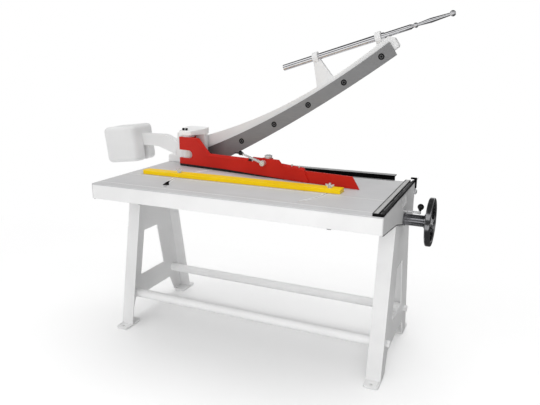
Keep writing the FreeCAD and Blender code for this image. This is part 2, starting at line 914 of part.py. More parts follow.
def eye_bracket(distance, foot_from, foot_to):
    half = eye_length / 2
    ring = rod(eye_axis(distance - half), eye_axis(distance + half), eye_outer_radius)
    web_half = 9
    y = arm_middle_y - web_half
    foot_rise = arm_back_height - 12
    low = [lever_point(foot_from, foot_rise + rise(foot_from, arm_back_radius), y),
           lever_point(foot_to, foot_rise + rise(foot_to, arm_back_radius), y)]
    high = [eye_axis(distance + half), eye_axis(distance - half)]
    points = low + [V(p.x, y, p.z) for p in high]
    web = face_of(points).extrude(V(0, 2 * web_half, 0))
    return ring.fuse(web)


def lever_arm():
    hub = rod(V(pivot_point_x, arm_front_y, pivot_point_z), V(pivot_point_x, arm_back_y, pivot_point_z), hub_radius)
    boss = rod(V(pivot_point_x, shear_y + blade_gap, pivot_point_z),
               V(pivot_point_x, arm_front_y + 1, pivot_point_z), boss_radius)
    body = arm_bar().fuse([arm_tail(), hub, boss,
                           eye_bracket(0, near_foot_from, near_foot_to),
                           eye_bracket(eye_spacing, far_foot_from, far_foot_to)])
    bore = rod(V(pivot_point_x, shear_y - 1, pivot_point_z), V(pivot_point_x, arm_back_y + 1, pivot_point_z),
               shaft_radius + 5 + running_gap)
    body = body.cut(bore)
    body = body.cut(rod(eye_axis(-60), eye_axis(eye_spacing + 60), handle_radius + running_gap))
    for distance in (0, eye_spacing):
        spot = eye_axis(distance)
        body = body.cut(rod(spot, spot + V(0, eye_outer_radius + 1, 0), eye_screw_radius + running_gap))
    for index in range(bolt_count):
        spot = bolt_spot(index, arm_front_y - 1)
        body = body.cut(rod(spot, spot + V(0, 28, 0), bolt_shank_radius + running_gap))
    return body.removeSplitter()


def eye_screws():
    screws = []
    for distance in (0, eye_spacing):
        spot = eye_axis(distance)
        screws.append(socket_screw(spot + V(0, eye_outer_radius, 0), V(0, 1, 0), eye_screw_radius,
                                   eye_outer_radius - handle_radius - flat_gap, 8, 8))
    return group(screws)


def handle_tube():
    start = -tube_before_eye
    end = eye_spacing + tube_after_eye
    body = rod(eye_axis(start), eye_axis(end), handle_radius)
    return body.cut(rod(eye_axis(start - 1), eye_axis(end + 1), handle_radius - handle_wall))


def handle_rod():
    mouth = eye_spacing + tube_after_eye
    neck = mouth + rod_outside
    body = rod(eye_axis(mouth - rod_inside), eye_axis(neck), handle_rod_radius)
    body = body.fuse(Part.makeCone(handle_rod_radius, grip_thin_radius, 14, eye_axis(neck),
                                   eye_axis(1) - eye_axis(0)))
    ball_at = neck + 14 + collar_ball_radius - 3
    body = body.fuse(Part.makeSphere(collar_ball_radius, eye_axis(ball_at)))
    grip_at = ball_at + collar_ball_radius - 3
    axis = eye_axis(1) - eye_axis(0)
    swell = grip_length * 0.4
    body = body.fuse(Part.makeCone(grip_thin_radius, grip_thick_radius, swell, eye_axis(grip_at), axis))
    body = body.fuse(Part.makeCone(grip_thick_radius, grip_thin_radius, grip_length - swell,
                                   eye_axis(grip_at + swell), axis))
    end = grip_at + grip_length + end_ball_radius - 4
    return body.fuse(Part.makeSphere(end_ball_radius, eye_axis(end)))


def weight_frame(shape):
    spin = FreeCAD.Rotation(V(0, -1, 0), weight_tilt)
    centre = V(pivot_point_x + weight_x, arm_middle_y, pivot_point_z + weight_z)
    shape.Placement = FreeCAD.Placement(centre, spin)
    return shape


def counterweight():
    half = (weight_length / 2, weight_width / 2, weight_height / 2)
    body = box(-half[0], half[0], -half[1], half[1], -half[2], half[2])
    body = body.makeFillet(weight_round, body.Edges)
    body = weight_frame(body)
    mouth = weight_x + weight_length / 2 + weight_round
    inner = [tail_above(tail_end_x) + flat_gap, tail_below(tail_end_x) - flat_gap]
    outer = [tail_above(mouth) + flat_gap, tail_below(mouth) - flat_gap]
    outline = [pivot_from(tail_end_x - flat_gap, inner[0]), pivot_from(mouth, outer[0]),
               pivot_from(mouth, outer[1]), pivot_from(tail_end_x - flat_gap, inner[1])]
    pocket = prism_y([(p.x, p.z) for p in outline], arm_front_y - flat_gap, arm_back_y + flat_gap)
    slot = box(half[0] - weight_slot_depth, half[0] + 1, -arm_thickness / 2 - flat_gap,
               arm_thickness / 2 + flat_gap, -half[2] - 1, 0)
    body = body.cut(pocket).cut(weight_frame(slot))
    for spot in weight_screw_spots():
        body = body.cut(rod(spot - V(0, 20, 0), spot + V(0, weight_width, 0), weight_screw_radius + running_gap))
    return body


def weight_screw_spots():
    x = pivot_point_x + tail_end_x + 40
    return [V(x, arm_back_y, pivot_point_z + shift) for shift in (-16, 16)]


def counterweight_screws():
    screws = []
    outside = arm_middle_y + weight_width / 2
    for spot in weight_screw_spots():
        seat = V(spot.x, outside, spot.z)
        length = outside - spot.y - flat_gap
        screws.append(socket_screw(seat, V(0, 1, 0), weight_screw_radius, length, 12, 10))
    return group(screws)


# Hold-down beam on its post, drawn flat in its own frame and then turned into place
def lay_beam(shape):
    shape.Placement = FreeCAD.Placement(beam_place(0, 0, 0), FreeCAD.Rotation(beam_turn, 0, 0))
    return shape


def beam_outline():
    return [(0, beam_raise), (beam_raise_end, beam_raise), (beam_ground, beam_foot),
            (beam_end_bottom, beam_foot), (beam_end_top, beam_end_height),
            (boss_foot, boss_foot_height), (boss_end, boss_height), (boss_start, boss_height),
            (notch_end, boss_height), (notch_end, notch_floor), (notch_start, notch_floor),
            (notch_start, beam_height), (slope_end, beam_height), (block_length, block_height),
            (0, block_height)]


def is_light_edge(bounds):
    on_front = bounds.YMax < 0.01 and bounds.ZMin > beam_end_height - 1 and bounds.XLength > 50
    before_notch = bounds.XMin > block_length - 1 and bounds.XMax < notch_start + 1
    after_bump = bounds.XMin > boss_foot - 1
    return on_front and (before_notch or after_bump)


def hold_down_beam():
    body = prism_y(beam_outline(), 0, beam_thickness)
    body = body.makeChamfer(beam_chamfer, edges_where(body, is_light_edge))
    body = body.cut(box(notch_end - 1, boss_foot + 1, bump_thickness, beam_thickness + 1,
                        boss_foot_height, boss_height + 1))
    post_axis = V(post_along, post_back, 0)
    sleeve = rod(post_axis + V(0, 0, beam_raise), post_axis + V(0, 0, block_height), sleeve_radius)
    bridge = box(0, post_along + sleeve_radius, beam_thickness - 1, post_back, beam_raise, block_height)
    boss = box(clamp_along - clamp_head_radius, nut_along + nut_radius, 0, 2 * nut_back,
               clamp_up - clamp_head_radius, boss_height)
    body = body.fuse([sleeve, bridge, boss])
    body = body.cut(box(-60, 0, -10, 100, 0, 2 * block_height))
    body = body.cut(rod(post_axis, post_axis + V(0, 0, 2 * block_height), post_radius + running_gap))
    radius = (fork_top - fork_bottom) / 2
    middle = (fork_top + fork_bottom) / 2
    fork = box(-1, fork_depth - radius, -1, post_back, fork_bottom, fork_top)
    fork = fork.fuse(rod(V(fork_depth - radius, -1, middle), V(fork_depth - radius, post_back, middle), radius))
    body = body.cut(fork)
    gap = flat_gap / 2
    channel = box(tip_start - gap, beam_end_bottom + 1, tip_inset - gap, beam_thickness + 1, -1, tip_height + gap)
    body = body.cut(channel)
    body = body.cut(rod(V(clamp_along, -1, clamp_up), V(clamp_along, 2 * nut_back + 1, clamp_up),
                        clamp_shaft_radius + running_gap))
    body = body.cut(rod(V(nut_along, nut_back, boss_height - nut_shank_length),
                        V(nut_along, nut_back, boss_height + 1), nut_shank_radius + running_gap))
    for along in tip_screw_places:
        body = body.cut(rod(V(along, tip_middle(), tip_height - 1), V(along, tip_middle(), block_height),
                            tip_screw_radius + hole_gap))
    return lay_beam(body.removeSplitter())


def tip_middle():
    return tip_inset + tip_thickness / 2


def tip_top(along):
    share = (along - boss_foot) / (beam_end_top - boss_foot)
    return boss_foot_height + share * (beam_end_height - boss_foot_height)


def hold_down_tip():
    outline = [(tip_start, beam_foot), (tip_end_bottom, beam_foot), (tip_end_top, tip_height),
               (tip_start, tip_height)]
    body = prism_y(outline, tip_inset, tip_inset + tip_thickness)
    for along in tip_screw_places:
        body = body.cut(rod(V(along, tip_middle(), tip_height - 22), V(along, tip_middle(), tip_height + 1),
                            tip_screw_radius + running_gap))
    return lay_beam(body)


def tip_screws():
    screws = []
    for along in tip_screw_places:
        seat = V(along, tip_middle(), tip_top(along) + 0.3)
        screws.append(socket_screw(seat, V(0, 0, 1), tip_screw_radius, 34, 5, 5))
    return lay_beam(group(screws))


def beam_underside(along):
    share = (along - beam_raise_end) / (beam_ground - beam_raise_end)
    return beam_raise + max(share, 0) * (beam_foot - beam_raise)


def hold_down_pad():
    end = tip_start - 2
    outline = [(pad_start, flat_gap), (end, flat_gap), (end, beam_underside(end)),
               (beam_raise_end, beam_raise), (pad_start, beam_raise)]
    body = prism_y(outline, pad_inset / 2, beam_thickness - pad_inset / 2)
    post_axis = V(post_along, post_back, 0)
    return lay_beam(body.cut(rod(post_axis, post_axis + V(0, 0, block_height), post_radius + hole_gap)))


def clamp_lever():
    seat = V(clamp_along, -flat_gap, clamp_up)
    hub = rod(seat, seat - V(0, clamp_hub_length, 0), clamp_hub_radius)
    hub = hub.makeFillet(3, edges_where(hub, lambda b: b.YMax < -clamp_hub_length))
    shaft = rod(seat, V(clamp_along, 2 * nut_back + 4, clamp_up), clamp_shaft_radius)
    head = rod(V(clamp_along, 2 * nut_back + flat_gap, clamp_up),
               V(clamp_along, 2 * nut_back + clamp_head_length, clamp_up), clamp_head_radius)
    root = V(clamp_along, -clamp_hub_length / 2, clamp_up)
    taper = clamp_arm_length - 2 * clamp_knob_radius
    arm = Part.makeCone(clamp_arm_root_radius, clamp_arm_radius, taper, root, clamp_arm_way())
    neck = rod(root + clamp_arm_way() * taper, root + clamp_arm_way() * clamp_arm_length, clamp_arm_radius)
    return lay_beam(hub.fuse([shaft, head, arm, neck]))


def clamp_arm_way():
    angle = math.radians(clamp_arm_angle)
    return V(math.cos(angle), 0, math.sin(angle))


def bored_ball(centre, way, radius, neck_radius, bore_radius, bore_end):
    # way points from the ball towards its stem; bore_end is how far the bore stops short of the centre
    neck_end = radius + 3
    meet = math.sqrt(radius * radius - neck_radius * neck_radius)
    profile = [Part.Arc(V(-radius, 0, 0), V(0, 0, radius), V(meet, 0, neck_radius)).toShape(),
               Part.makeLine(V(meet, 0, neck_radius), V(neck_end, 0, neck_radius)),
               Part.makeLine(V(neck_end, 0, neck_radius), V(neck_end, 0, bore_radius)),
               Part.makeLine(V(neck_end, 0, bore_radius), V(bore_end, 0, bore_radius)),
               Part.makeLine(V(bore_end, 0, bore_radius), V(bore_end, 0, 0)),
               Part.makeLine(V(bore_end, 0, 0), V(-radius, 0, 0))]
    body = Part.Face(Part.Wire(profile)).revolve(V(0, 0, 0), V(1, 0, 0), 360)
    body.Placement = FreeCAD.Placement(centre, FreeCAD.Rotation(V(1, 0, 0), way))
    return body


def clamp_knob():
    root = V(clamp_along, -clamp_hub_length / 2, clamp_up)
    overhang = 4.0
    centre = root + clamp_arm_way() * (clamp_arm_length + overhang)
    body = bored_ball(centre, clamp_arm_way() * -1, clamp_knob_radius, clamp_arm_radius + 3,
                      clamp_arm_radius + running_gap, overhang - flat_gap)
    away = V(-1, 0, -0.1).normalize()
    spike = Part.makeCone(4, 2.5, clamp_knob_tip - 6, centre + away * 6, away)
    return lay_beam(body.fuse(spike))


def clamp_screw():
    seat = V(nut_along, nut_back, boss_height + flat_gap)
    head = rod(seat, seat + V(0, 0, nut_height), nut_radius)
    head = head.makeChamfer(1, edges_where(head, lambda b: b.ZLength < 0.01 and b.ZMax < seat.z + 1))
    crown = Part.makeCone(nut_radius, nut_radius - 7, nut_crown, seat + V(0, 0, nut_height))
    shank = rod(seat + V(0, 0, nut_height), seat - V(0, 0, nut_shank_length - 4), nut_shank_radius)
    return lay_beam(head.fuse([shank, crown]))


# Fence bar, its bolts and wing nuts
def fence_studs():
    y = front + fence_centre_y
    return [V(left + fence_centre_x + way * fence_slot_radius, y, top) for way in (-1, 1)]


def fence_bar():
    y = front + fence_centre_y
    body = box(left + fence_left, left + fence_right, y - fence_width / 2, y + fence_width / 2,
               top + flat_gap, top + fence_thickness)
    body = body.makeFillet(fence_corner, edges_where(body, lambda b: upright(b) and b.XMax < 0))
    for stud in fence_studs():
        body = body.cut(rod(stud, stud + V(0, 0, fence_thickness + 1), fence_stud_radius + running_gap))
    return body


def fence_bolts():
    bolts = []
    for stud in fence_studs():
        low = stud - V(0, 0, plate + flat_gap)
        head = rod(low, low - V(0, 0, fence_head_thickness), fence_head_radius)
        shank = rod(low, stud + V(0, 0, fence_thickness + wing_hub_height + 8), fence_stud_radius)
        bolts.append(head.fuse(shank))
    return group(bolts)


def wing_nut(stud):
    seat = stud + V(0, 0, fence_thickness + flat_gap)
    body = Part.makeCone(wing_hub_radius + 2, wing_hub_radius - 1, wing_hub_height, seat)
    half = wing_thickness / 2
    for way in (-1, 1):
        inner = seat.x + way * (wing_hub_radius - 4)
        outer = seat.x + way * wing_span
        knee = seat.x + way * wing_span * 0.55
        points = [(inner, seat.z + 2), (knee, seat.z + 3), (outer, seat.z + wing_height - 5),
                  (outer, seat.z + wing_height), (knee, seat.z + wing_height - 2), (inner, seat.z + wing_hub_height)]
        wing = prism_y(points, seat.y - half, seat.y + half)
        body = body.fuse(wing)
    hole = rod(seat - V(0, 0, 1), seat + V(0, 0, wing_height + 5), fence_stud_radius + running_gap)
    return body.cut(hole)


def left_wing_nut():
    return wing_nut(fence_studs()[0])


def right_wing_nut():
    return wing_nut(fence_studs()[1])


# Side rail with its scale, and the clamping lever at the rail's rear end
def rail_start():
    return right - rail_width


def side_rail():
    x0 = rail_start()
    body = box(x0, right, front, front + rail_length, top, top + rail_height)
    scale_x = x0 + rail_lip
    body = body.cut(box(scale_x, scale_x + scale_width, front + 4, front + rail_length + 1,
                        top + rail_height - scale_thickness, top + rail_height + 1))
    groove_x = scale_x + scale_width + groove_gap
    body = body.cut(box(groove_x, groove_x + groove_width, front + 4, front + rail_length + 1,
                        top + rail_height - groove_depth, top + rail_height + 1))
    return body


def side_scale():
    x0 = rail_start() + rail_lip
    gap = flat_gap / 2
    low = top + rail_height - scale_thickness
    return box(x0 + gap, x0 + scale_width - gap, front + 4 + gap, front + rail_length, low,
               low + scale_thickness - 0.2)


def rail_clamp_axis(z):
    return V(right, front + rail_clamp_y, z)


def rail_clamp_lever():
    high = top + rail_height - 4
    low = high - rail_clamp_hub_height
    body = rod(rail_clamp_axis(low), rail_clamp_axis(high), rail_clamp_hub_radius)
    spot = rail_clamp_axis(high)
    arm = box(spot.x - rail_clamp_arm_length, spot.x + rail_clamp_hub_radius, spot.y - 5, spot.y + 5,
              high + 4.5, high + 12)
    neck = rod(rail_clamp_axis(high), rail_clamp_axis(high + 12), rail_clamp_hub_radius)
    arm = arm.makeFillet(3, edges_where(arm, upright))
    body = body.fuse([arm, neck])
    return body.cut(rod(rail_clamp_axis(low - 1), rail_clamp_axis(low + 14), rail_clamp_stud_radius + running_gap))


def rail_clamp_stud():
    low = top + rail_height - 4 - rail_clamp_hub_height
    stud = rod(rail_clamp_axis(low - rail_clamp_stud_length), rail_clamp_axis(low + 13), rail_clamp_stud_radius)
    lug_top = low - rail_clamp_stud_length + 12
    lug = box(right - rail_clamp_lug, right + rail_clamp_lug, rear, front + rail_clamp_y + rail_clamp_lug,
              lug_top - 14, lug_top)
    tab = box(right, right + rail_clamp_lug, rear - 2 * rail_clamp_lug, rear, lug_top - 14, lug_top)
    return stud.fuse([lug, tab])


# Back gauge with its racks, pinions, shaft and handwheel
def gauge_bar():
    y0 = front + gauge_front_y
    high = top + gauge_above_table
    x0 = left + gauge_left
    outline = [(y0, high), (y0, high - gauge_leg), (y0 + gauge_wall, high - gauge_leg),
               (y0 + gauge_wall, high - gauge_wall), (y0 + gauge_leg, high - gauge_wall), (y0 + gauge_leg, high)]
    return prism_x(outline, x0, x0 + gauge_length)


def rack_tooth(y, pitch_z):
    addendum = 0.8 * tooth_module
    dedendum = 1.2 * tooth_module
    half = math.pi * tooth_module / 4 - tooth_backlash / 2
    lean = math.tan(math.radians(20))
    return [(y - half - dedendum * lean, pitch_z + dedendum), (y - half + addendum * lean, pitch_z - addendum),
            (y + half - addendum * lean, pitch_z - addendum), (y + half + dedendum * lean, pitch_z + dedendum)]


def gauge_racks():
    racks = []
    pitch = math.pi * tooth_module
    pitch_z = drive_z + pitch_radius
    base = pitch_z + 1.2 * tooth_module
    end = gauge_back_y - gauge_wall
    step_back = int((front + drive_y - front - rack_front_y) / pitch)
    step_ahead = int((rear_beam_front() - front - drive_y - 20) / pitch)
    for place in rack_places:
        x0 = left + place - rack_width / 2
        outline = [(front + rack_front_y, base + rack_body), (front + rack_front_y, base)]
        for step in range(-step_back + 1, step_ahead):
            outline += rack_tooth(front + drive_y + step * pitch, pitch_z)
        outline += [(end, base), (end, base + rack_body)]
        body = prism_x(outline, x0, x0 + rack_width)
        post = box(x0, x0 + rack_width, front + gauge_front_y + gauge_wall, end, base, top + gauge_above_table - gauge_wall)
        racks.append(body.fuse(post).removeSplitter())
    return group(racks)


def involute(base, radius):
    turn = math.sqrt((radius / base) ** 2 - 1)
    return turn - math.atan(turn)


def pinion_outline(x):
    base = pitch_radius * math.cos(math.radians(20))
    outer = pitch_radius + 0.8 * tooth_module
    root = pitch_radius - 1.15 * tooth_module
    half = math.pi / (2 * pinion_teeth) - tooth_backlash / (4 * pitch_radius)
    at_pitch = involute(base, pitch_radius)
    points = []
    for tooth in range(pinion_teeth):
        middle = math.pi / 2 + math.pi / pinion_teeth + 2 * math.pi * tooth / pinion_teeth
        flank = []
        for step in range(5):
            radius = base + (outer - base) * step / 4
            flank.append((radius, half + at_pitch - involute(base, radius)))
        side = [(root, flank[0][1])] + flank
        for radius, angle in side:
            points.append((radius, middle - angle))
        for radius, angle in reversed(side):
            points.append((radius, middle + angle))
    return [V(x, front + drive_y + r * math.cos(a), drive_z + r * math.sin(a)) for r, a in points]


def drive_pinions():
    pinions = []
    for place in rack_places:
        x0 = left + place - pinion_width / 2
        body = face_of(pinion_outline(x0)).extrude(V(pinion_width, 0, 0))
        hole = rod(V(x0 - 1, front + drive_y, drive_z), V(x0 + pinion_width + 1, front + drive_y, drive_z),
                   drive_shaft_radius + running_gap)
        pinions.append(body.cut(hole))
    return group(pinions)


def drive_shaft():
    y = front + drive_y
    return rod(V(stand_left, y, drive_z), V(wheel_face() + wheel_hub_length - 4, y, drive_z), drive_shaft_radius)


def rack_guides():
    guides = []
    pitch_z = drive_z + pitch_radius
    low = pitch_z + 1.2 * tooth_module
    high = low + rack_body
    for place in rack_places:
        x = left + place
        half = rack_width / 2 + flat_gap
        for y in guide_places:
            body = box(x - half - guide_wall, x + half + guide_wall, front + y, front + y + guide_length,
                       pitch_z - tooth_module - 6, under)
            body = body.cut(box(x - half, x + half, front + y - 1, front + y + guide_length + 1,
                                pitch_z - tooth_module, high + flat_gap))
            guides.append(body)
    return group(guides)


def wheel_bearing():
    y = front + drive_y
    start = V(right, y, drive_z)
    body = rod(start, start + V(bearing_length, 0, 0), bearing_radius)
    body = body.makeChamfer(1.5, edges_where(body, lambda b: b.XLength < 0.01))
    flange = rod(start, start + V(6, 0, 0), bearing_radius + 3)
    body = body.fuse(flange)
    return body.cut(rod(start - V(1, 0, 0), start + V(bearing_length + 1, 0, 0), drive_shaft_radius + running_gap))


def wheel_face():
    return right + bearing_length + flat_gap


def handwheel():
    y = front + drive_y
    x0 = wheel_face()
    hub = rod(V(x0, y, drive_z), V(x0 + wheel_hub_length, y, drive_z), wheel_hub_radius)
    boss = rod(V(x0, y, drive_z), V(x0 + wheel_boss_length, y, drive_z), wheel_boss_radius)
    rim_x = x0 + wheel_dish
    inside = V(rim_x - rim_width / 2, y, drive_z)
    outside = V(rim_x + rim_width / 2, y, drive_z)
    rim = rod(inside, outside, wheel_radius).cut(rod(inside, outside, wheel_radius - rim_depth))
    rim = rim.makeFillet(rim_corner, edges_where(rim, lambda b: b.XLength < 0.01))
    spokes = []
    for index in range(spoke_count):
        inner = wheel_hub_radius - 6
        outer = wheel_radius - rim_depth / 2
        low = Part.makePolygon([V(-7, -13, inner), V(7, -13, inner), V(7, 13, inner), V(-7, 13, inner), V(-7, -13, inner)])
        shift = rim_x - x0 - 12
        high = Part.makePolygon([V(shift - 5, -9, outer), V(shift + 5, -9, outer), V(shift + 5, 9, outer),
                                 V(shift - 5, 9, outer), V(shift - 5, -9, outer)])
        spoke = Part.makeLoft([low, high], True, True)
        spoke.Placement = FreeCAD.Placement(V(x0 + 12, y, drive_z),
                                            FreeCAD.Rotation(V(1, 0, 0), 360.0 * index / spoke_count))
        spokes.append(spoke)
    body = hub.fuse([boss, rim] + spokes)
    return body.cut(rod(V(x0 - 1, y, drive_z), V(x0 + wheel_hub_length + 1, y, drive_z),
                        drive_shaft_radius + running_gap))


def lock_axis(x):
    return V(x, front + lock_y, top - lock_drop)


def lock_spindle():
    body = rod(lock_axis(stand_right - 30), lock_axis(right + lock_out), lock_radius)
    head = lock_axis(right + lock_out - 2)
    arm = rod(head, head + V(3, 0, lock_arm - lock_ball_radius + 6), 4)
    return body.fuse([arm, Part.makeSphere(lock_radius + 1.5, head)])


def lock_knob():
    root = lock_axis(right + lock_out - 2)
    stem = V(3, 0, lock_arm - lock_ball_radius + 6)
    centre = root + stem + stem.normalize() * 4
    return bored_ball(centre, stem * -1, lock_ball_radius, 6, 4 + running_gap, 4 - flat_gap)


def shaft_clamp():
    x1 = stand_right - leg_sheet
    y = front + drive_y
    body = box(x1 - 18, x1, y - 28, y + 24, drive_z - 22, top - lock_drop + 12)
    body = body.cut(rod(V(x1 - 20, y, drive_z), V(x1 + 1, y, drive_z), drive_shaft_radius + running_gap))
    return body.cut(rod(lock_axis(x1 - 40), lock_axis(x1 + 1), lock_radius + running_gap))


nodes = {
    "table_top": table_top,
    "front_apron": front_apron,
    "left_side_plate": left_side_plate,
    "right_side_plate": right_side_plate,
    "rear_beam": rear_beam,
    "table_ribs": table_ribs,
    "lower_blade": lower_blade,
    "lower_blade_screws": lower_blade_screws,
    "left_front_leg": lambda: leg(True, True),
    "left_rear_leg": lambda: leg(True, False),
    "left_upper_tie": lambda: upper_tie(True),
    "left_lower_tie": lambda: lower_tie(True),
    "right_front_leg": lambda: leg(False, True),
    "right_rear_leg": lambda: leg(False, False),
    "right_upper_tie": lambda: upper_tie(False),
    "right_lower_tie": lambda: lower_tie(False),
    "foot_plates": foot_plates,
    "tie_tubes": tie_tubes,
    "tie_bolts": tie_bolts,
    "pivot_pedestal": pivot_pedestal,
    "pedestal_bolts": pedestal_bolts,
    "pivot_cap": pivot_cap,
    "cap_bolts": cap_bolts,
    "guide_post": guide_post,
    "pivot_shaft": pivot_shaft,
    "pivot_bush": pivot_bush,
    "pivot_nut": pivot_nut,
    "lever_arm": lever_arm,
    "upper_blade": upper_blade,
    "blade_bolts": blade_bolts,
    "handle_tube": handle_tube,
    "handle_rod": handle_rod,
    "eye_screws": eye_screws,
    "counterweight": counterweight,
    "counterweight_screws": counterweight_screws,
    "hold_down_beam": hold_down_beam,
    "hold_down_tip": hold_down_tip,
    "tip_screws": tip_screws,
    "hold_down_pad": hold_down_pad,
    "clamp_lever": clamp_lever,
    "clamp_knob": clamp_knob,
    "clamp_screw": clamp_screw,
    "fence_bar": fence_bar,
    "fence_bolts": fence_bolts,
    "left_wing_nut": left_wing_nut,
    "right_wing_nut": right_wing_nut,
    "side_rail": side_rail,
    "side_scale": side_scale,
    "rail_clamp_lever": rail_clamp_lever,
    "rail_clamp_stud": rail_clamp_stud,
    "gauge_bar": gauge_bar,
    "gauge_racks": gauge_racks,
    "rack_guides": rack_guides,
    "drive_pinions": drive_pinions,
    "drive_shaft": drive_shaft,
    "wheel_bearing": wheel_bearing,
    "handwheel": handwheel,
    "lock_spindle": lock_spindle,
    "lock_knob": lock_knob,
    "shaft_clamp": shaft_clamp,
}

os.makedirs("parts", exist_ok=True)
for name, make in nodes.items():
    shape = make()
    shape.exportStep("parts/" + name + ".step")
    print(name, len(shape.Solids), shape.isValid(), round(shape.Volume))
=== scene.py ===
import json
import math

import bmesh
import bpy
from mathutils import Matrix, Vector

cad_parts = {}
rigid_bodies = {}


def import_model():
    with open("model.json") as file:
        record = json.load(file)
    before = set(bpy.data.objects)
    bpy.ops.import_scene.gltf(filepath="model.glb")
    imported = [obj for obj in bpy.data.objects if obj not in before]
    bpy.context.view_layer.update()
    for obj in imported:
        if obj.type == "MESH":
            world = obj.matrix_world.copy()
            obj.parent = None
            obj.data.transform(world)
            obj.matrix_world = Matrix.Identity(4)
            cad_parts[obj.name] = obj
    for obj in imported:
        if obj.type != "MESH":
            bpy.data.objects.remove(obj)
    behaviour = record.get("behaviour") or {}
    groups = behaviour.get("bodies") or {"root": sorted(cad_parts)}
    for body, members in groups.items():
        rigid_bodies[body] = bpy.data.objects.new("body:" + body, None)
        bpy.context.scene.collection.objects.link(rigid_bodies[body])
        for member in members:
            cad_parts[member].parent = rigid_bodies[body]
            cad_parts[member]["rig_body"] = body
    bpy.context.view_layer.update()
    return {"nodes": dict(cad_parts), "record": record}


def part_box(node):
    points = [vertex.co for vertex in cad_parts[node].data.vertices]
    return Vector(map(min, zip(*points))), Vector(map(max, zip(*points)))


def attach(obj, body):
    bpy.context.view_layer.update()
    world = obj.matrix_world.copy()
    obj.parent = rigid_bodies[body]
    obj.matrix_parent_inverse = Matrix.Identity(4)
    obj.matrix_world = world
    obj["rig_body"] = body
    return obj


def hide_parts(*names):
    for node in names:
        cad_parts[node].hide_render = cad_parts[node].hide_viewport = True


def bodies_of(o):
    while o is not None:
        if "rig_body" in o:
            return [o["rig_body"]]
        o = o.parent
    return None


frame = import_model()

nodes = frame["nodes"]
slot_of = {part["node"]: part["material_slot"] for part in frame["record"]["subparts"]}

# Sizes and places are in millimetres, and turn to metres where they go into a mesh or a shader.
MM = 0.001


# What the frame says

MERGE_WITHIN = 0.002
FLAT_WITHIN = math.radians(0.3)


def merged_copy(node):
    """A solid's mesh as a bmesh, with its loose triangles joined and its flat faces made whole."""
    bm = bmesh.new()
    bm.from_mesh(nodes[node].data)
    bmesh.ops.remove_doubles(bm, verts=bm.verts, dist=MERGE_WITHIN * MM)
    bmesh.ops.dissolve_limit(bm, angle_limit=FLAT_WITHIN, verts=bm.verts, edges=bm.edges)
    return bm


def body_of(node):
    """The body that a solid moves with."""
    return next(iter(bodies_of(nodes[node])))


def in_mm(box):
    """Low and high corner of a box."""
    return [Vector(corner) / MM for corner in box]


def solids_of(node):
    """Middle, low corner and high corner of each solid of a node, from left to right and front to back."""
    bm = merged_copy(node)
    found = []
    left = set(bm.verts)
    while left:
        group, front = set(), [left.pop()]
        while front:
            vert = front.pop()
            group.add(vert)
            for edge in vert.link_edges:
                other = edge.other_vert(vert)
                if other in left:
                    left.discard(other)
                    front.append(other)
        low = Vector(min(v.co[i] for v in group) for i in range(3)) / MM
        high = Vector(max(v.co[i] for v in group) for i in range(3)) / MM
        found.append(((low + high) / 2, low, high))
    bm.free()
    return sorted(found, key=lambda solid: [round(value, 2) for value in solid[0]])


table_low, table_high = in_mm(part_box("table_top"))
scale_low, scale_high = in_mm(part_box("side_scale"))
blade_low = in_mm(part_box("upper_blade"))[0]
rail_low, rail_high = in_mm(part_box("side_rail"))
gauge_top = in_mm(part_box("gauge_bar"))[1].z
left_stud, right_stud = (middle for middle, low, high in solids_of("fence_bolts"))
fence_pivot = (left_stud + right_stud) / 2
fence_reach = (right_stud - left_stud).length / 2


# Colours and shader nodes

def to_linear(code):
    """An sRGB hex code as the linear colour that a shader takes."""
    values = [int(code[i:i + 2], 16) / 255 for i in (1, 3, 5)]
    return tuple(v / 12.92 if v <= 0.04045 else ((v + 0.055) / 1.055) ** 2.4 for v in values) + (1.0,)


def add_node(tree, kind, settings=None, inputs=None, links=None, stops=()):
    """Adds one shader node, sets its properties and sockets and a ramp's stops, and links sockets from other
    nodes. Stops are pairs of a position and a colour, from left to right."""
    node = tree.nodes.new(kind)
    for key, value in (settings or {}).items():
        setattr(node, key, value)
    for key, value in (inputs or {}).items():
        node.inputs[key].default_value = value
    for key, (other, socket) in (links or {}).items():
        tree.links.new(other.outputs[socket], node.inputs[key])
    if stops:
        ramp = node.color_ramp.elements
        ramp[0].position, ramp[1].position = stops[0][0], stops[-1][0]
        for position, colour in stops[1:-1]:
            ramp.new(position)
        for stop, (position, colour) in zip(ramp, stops):
            stop.color = colour
    return node


def new_material(name):
    """A material with an empty tree, and the place on the piece that its patterns read."""
    material = bpy.data.materials.new(name)
    material.use_nodes = True
    tree = material.node_tree
    tree.nodes.clear()
    place = add_node(tree, "ShaderNodeTexCoord")
    return material, tree, (place, "Object")


def grain(size):
    """Scale of a pattern whose lumps are about so many millimetres across."""
    return 1 / (size * MM)


# Finishes

HAND_WIDTH = 170
RAG_STREAKS = 40


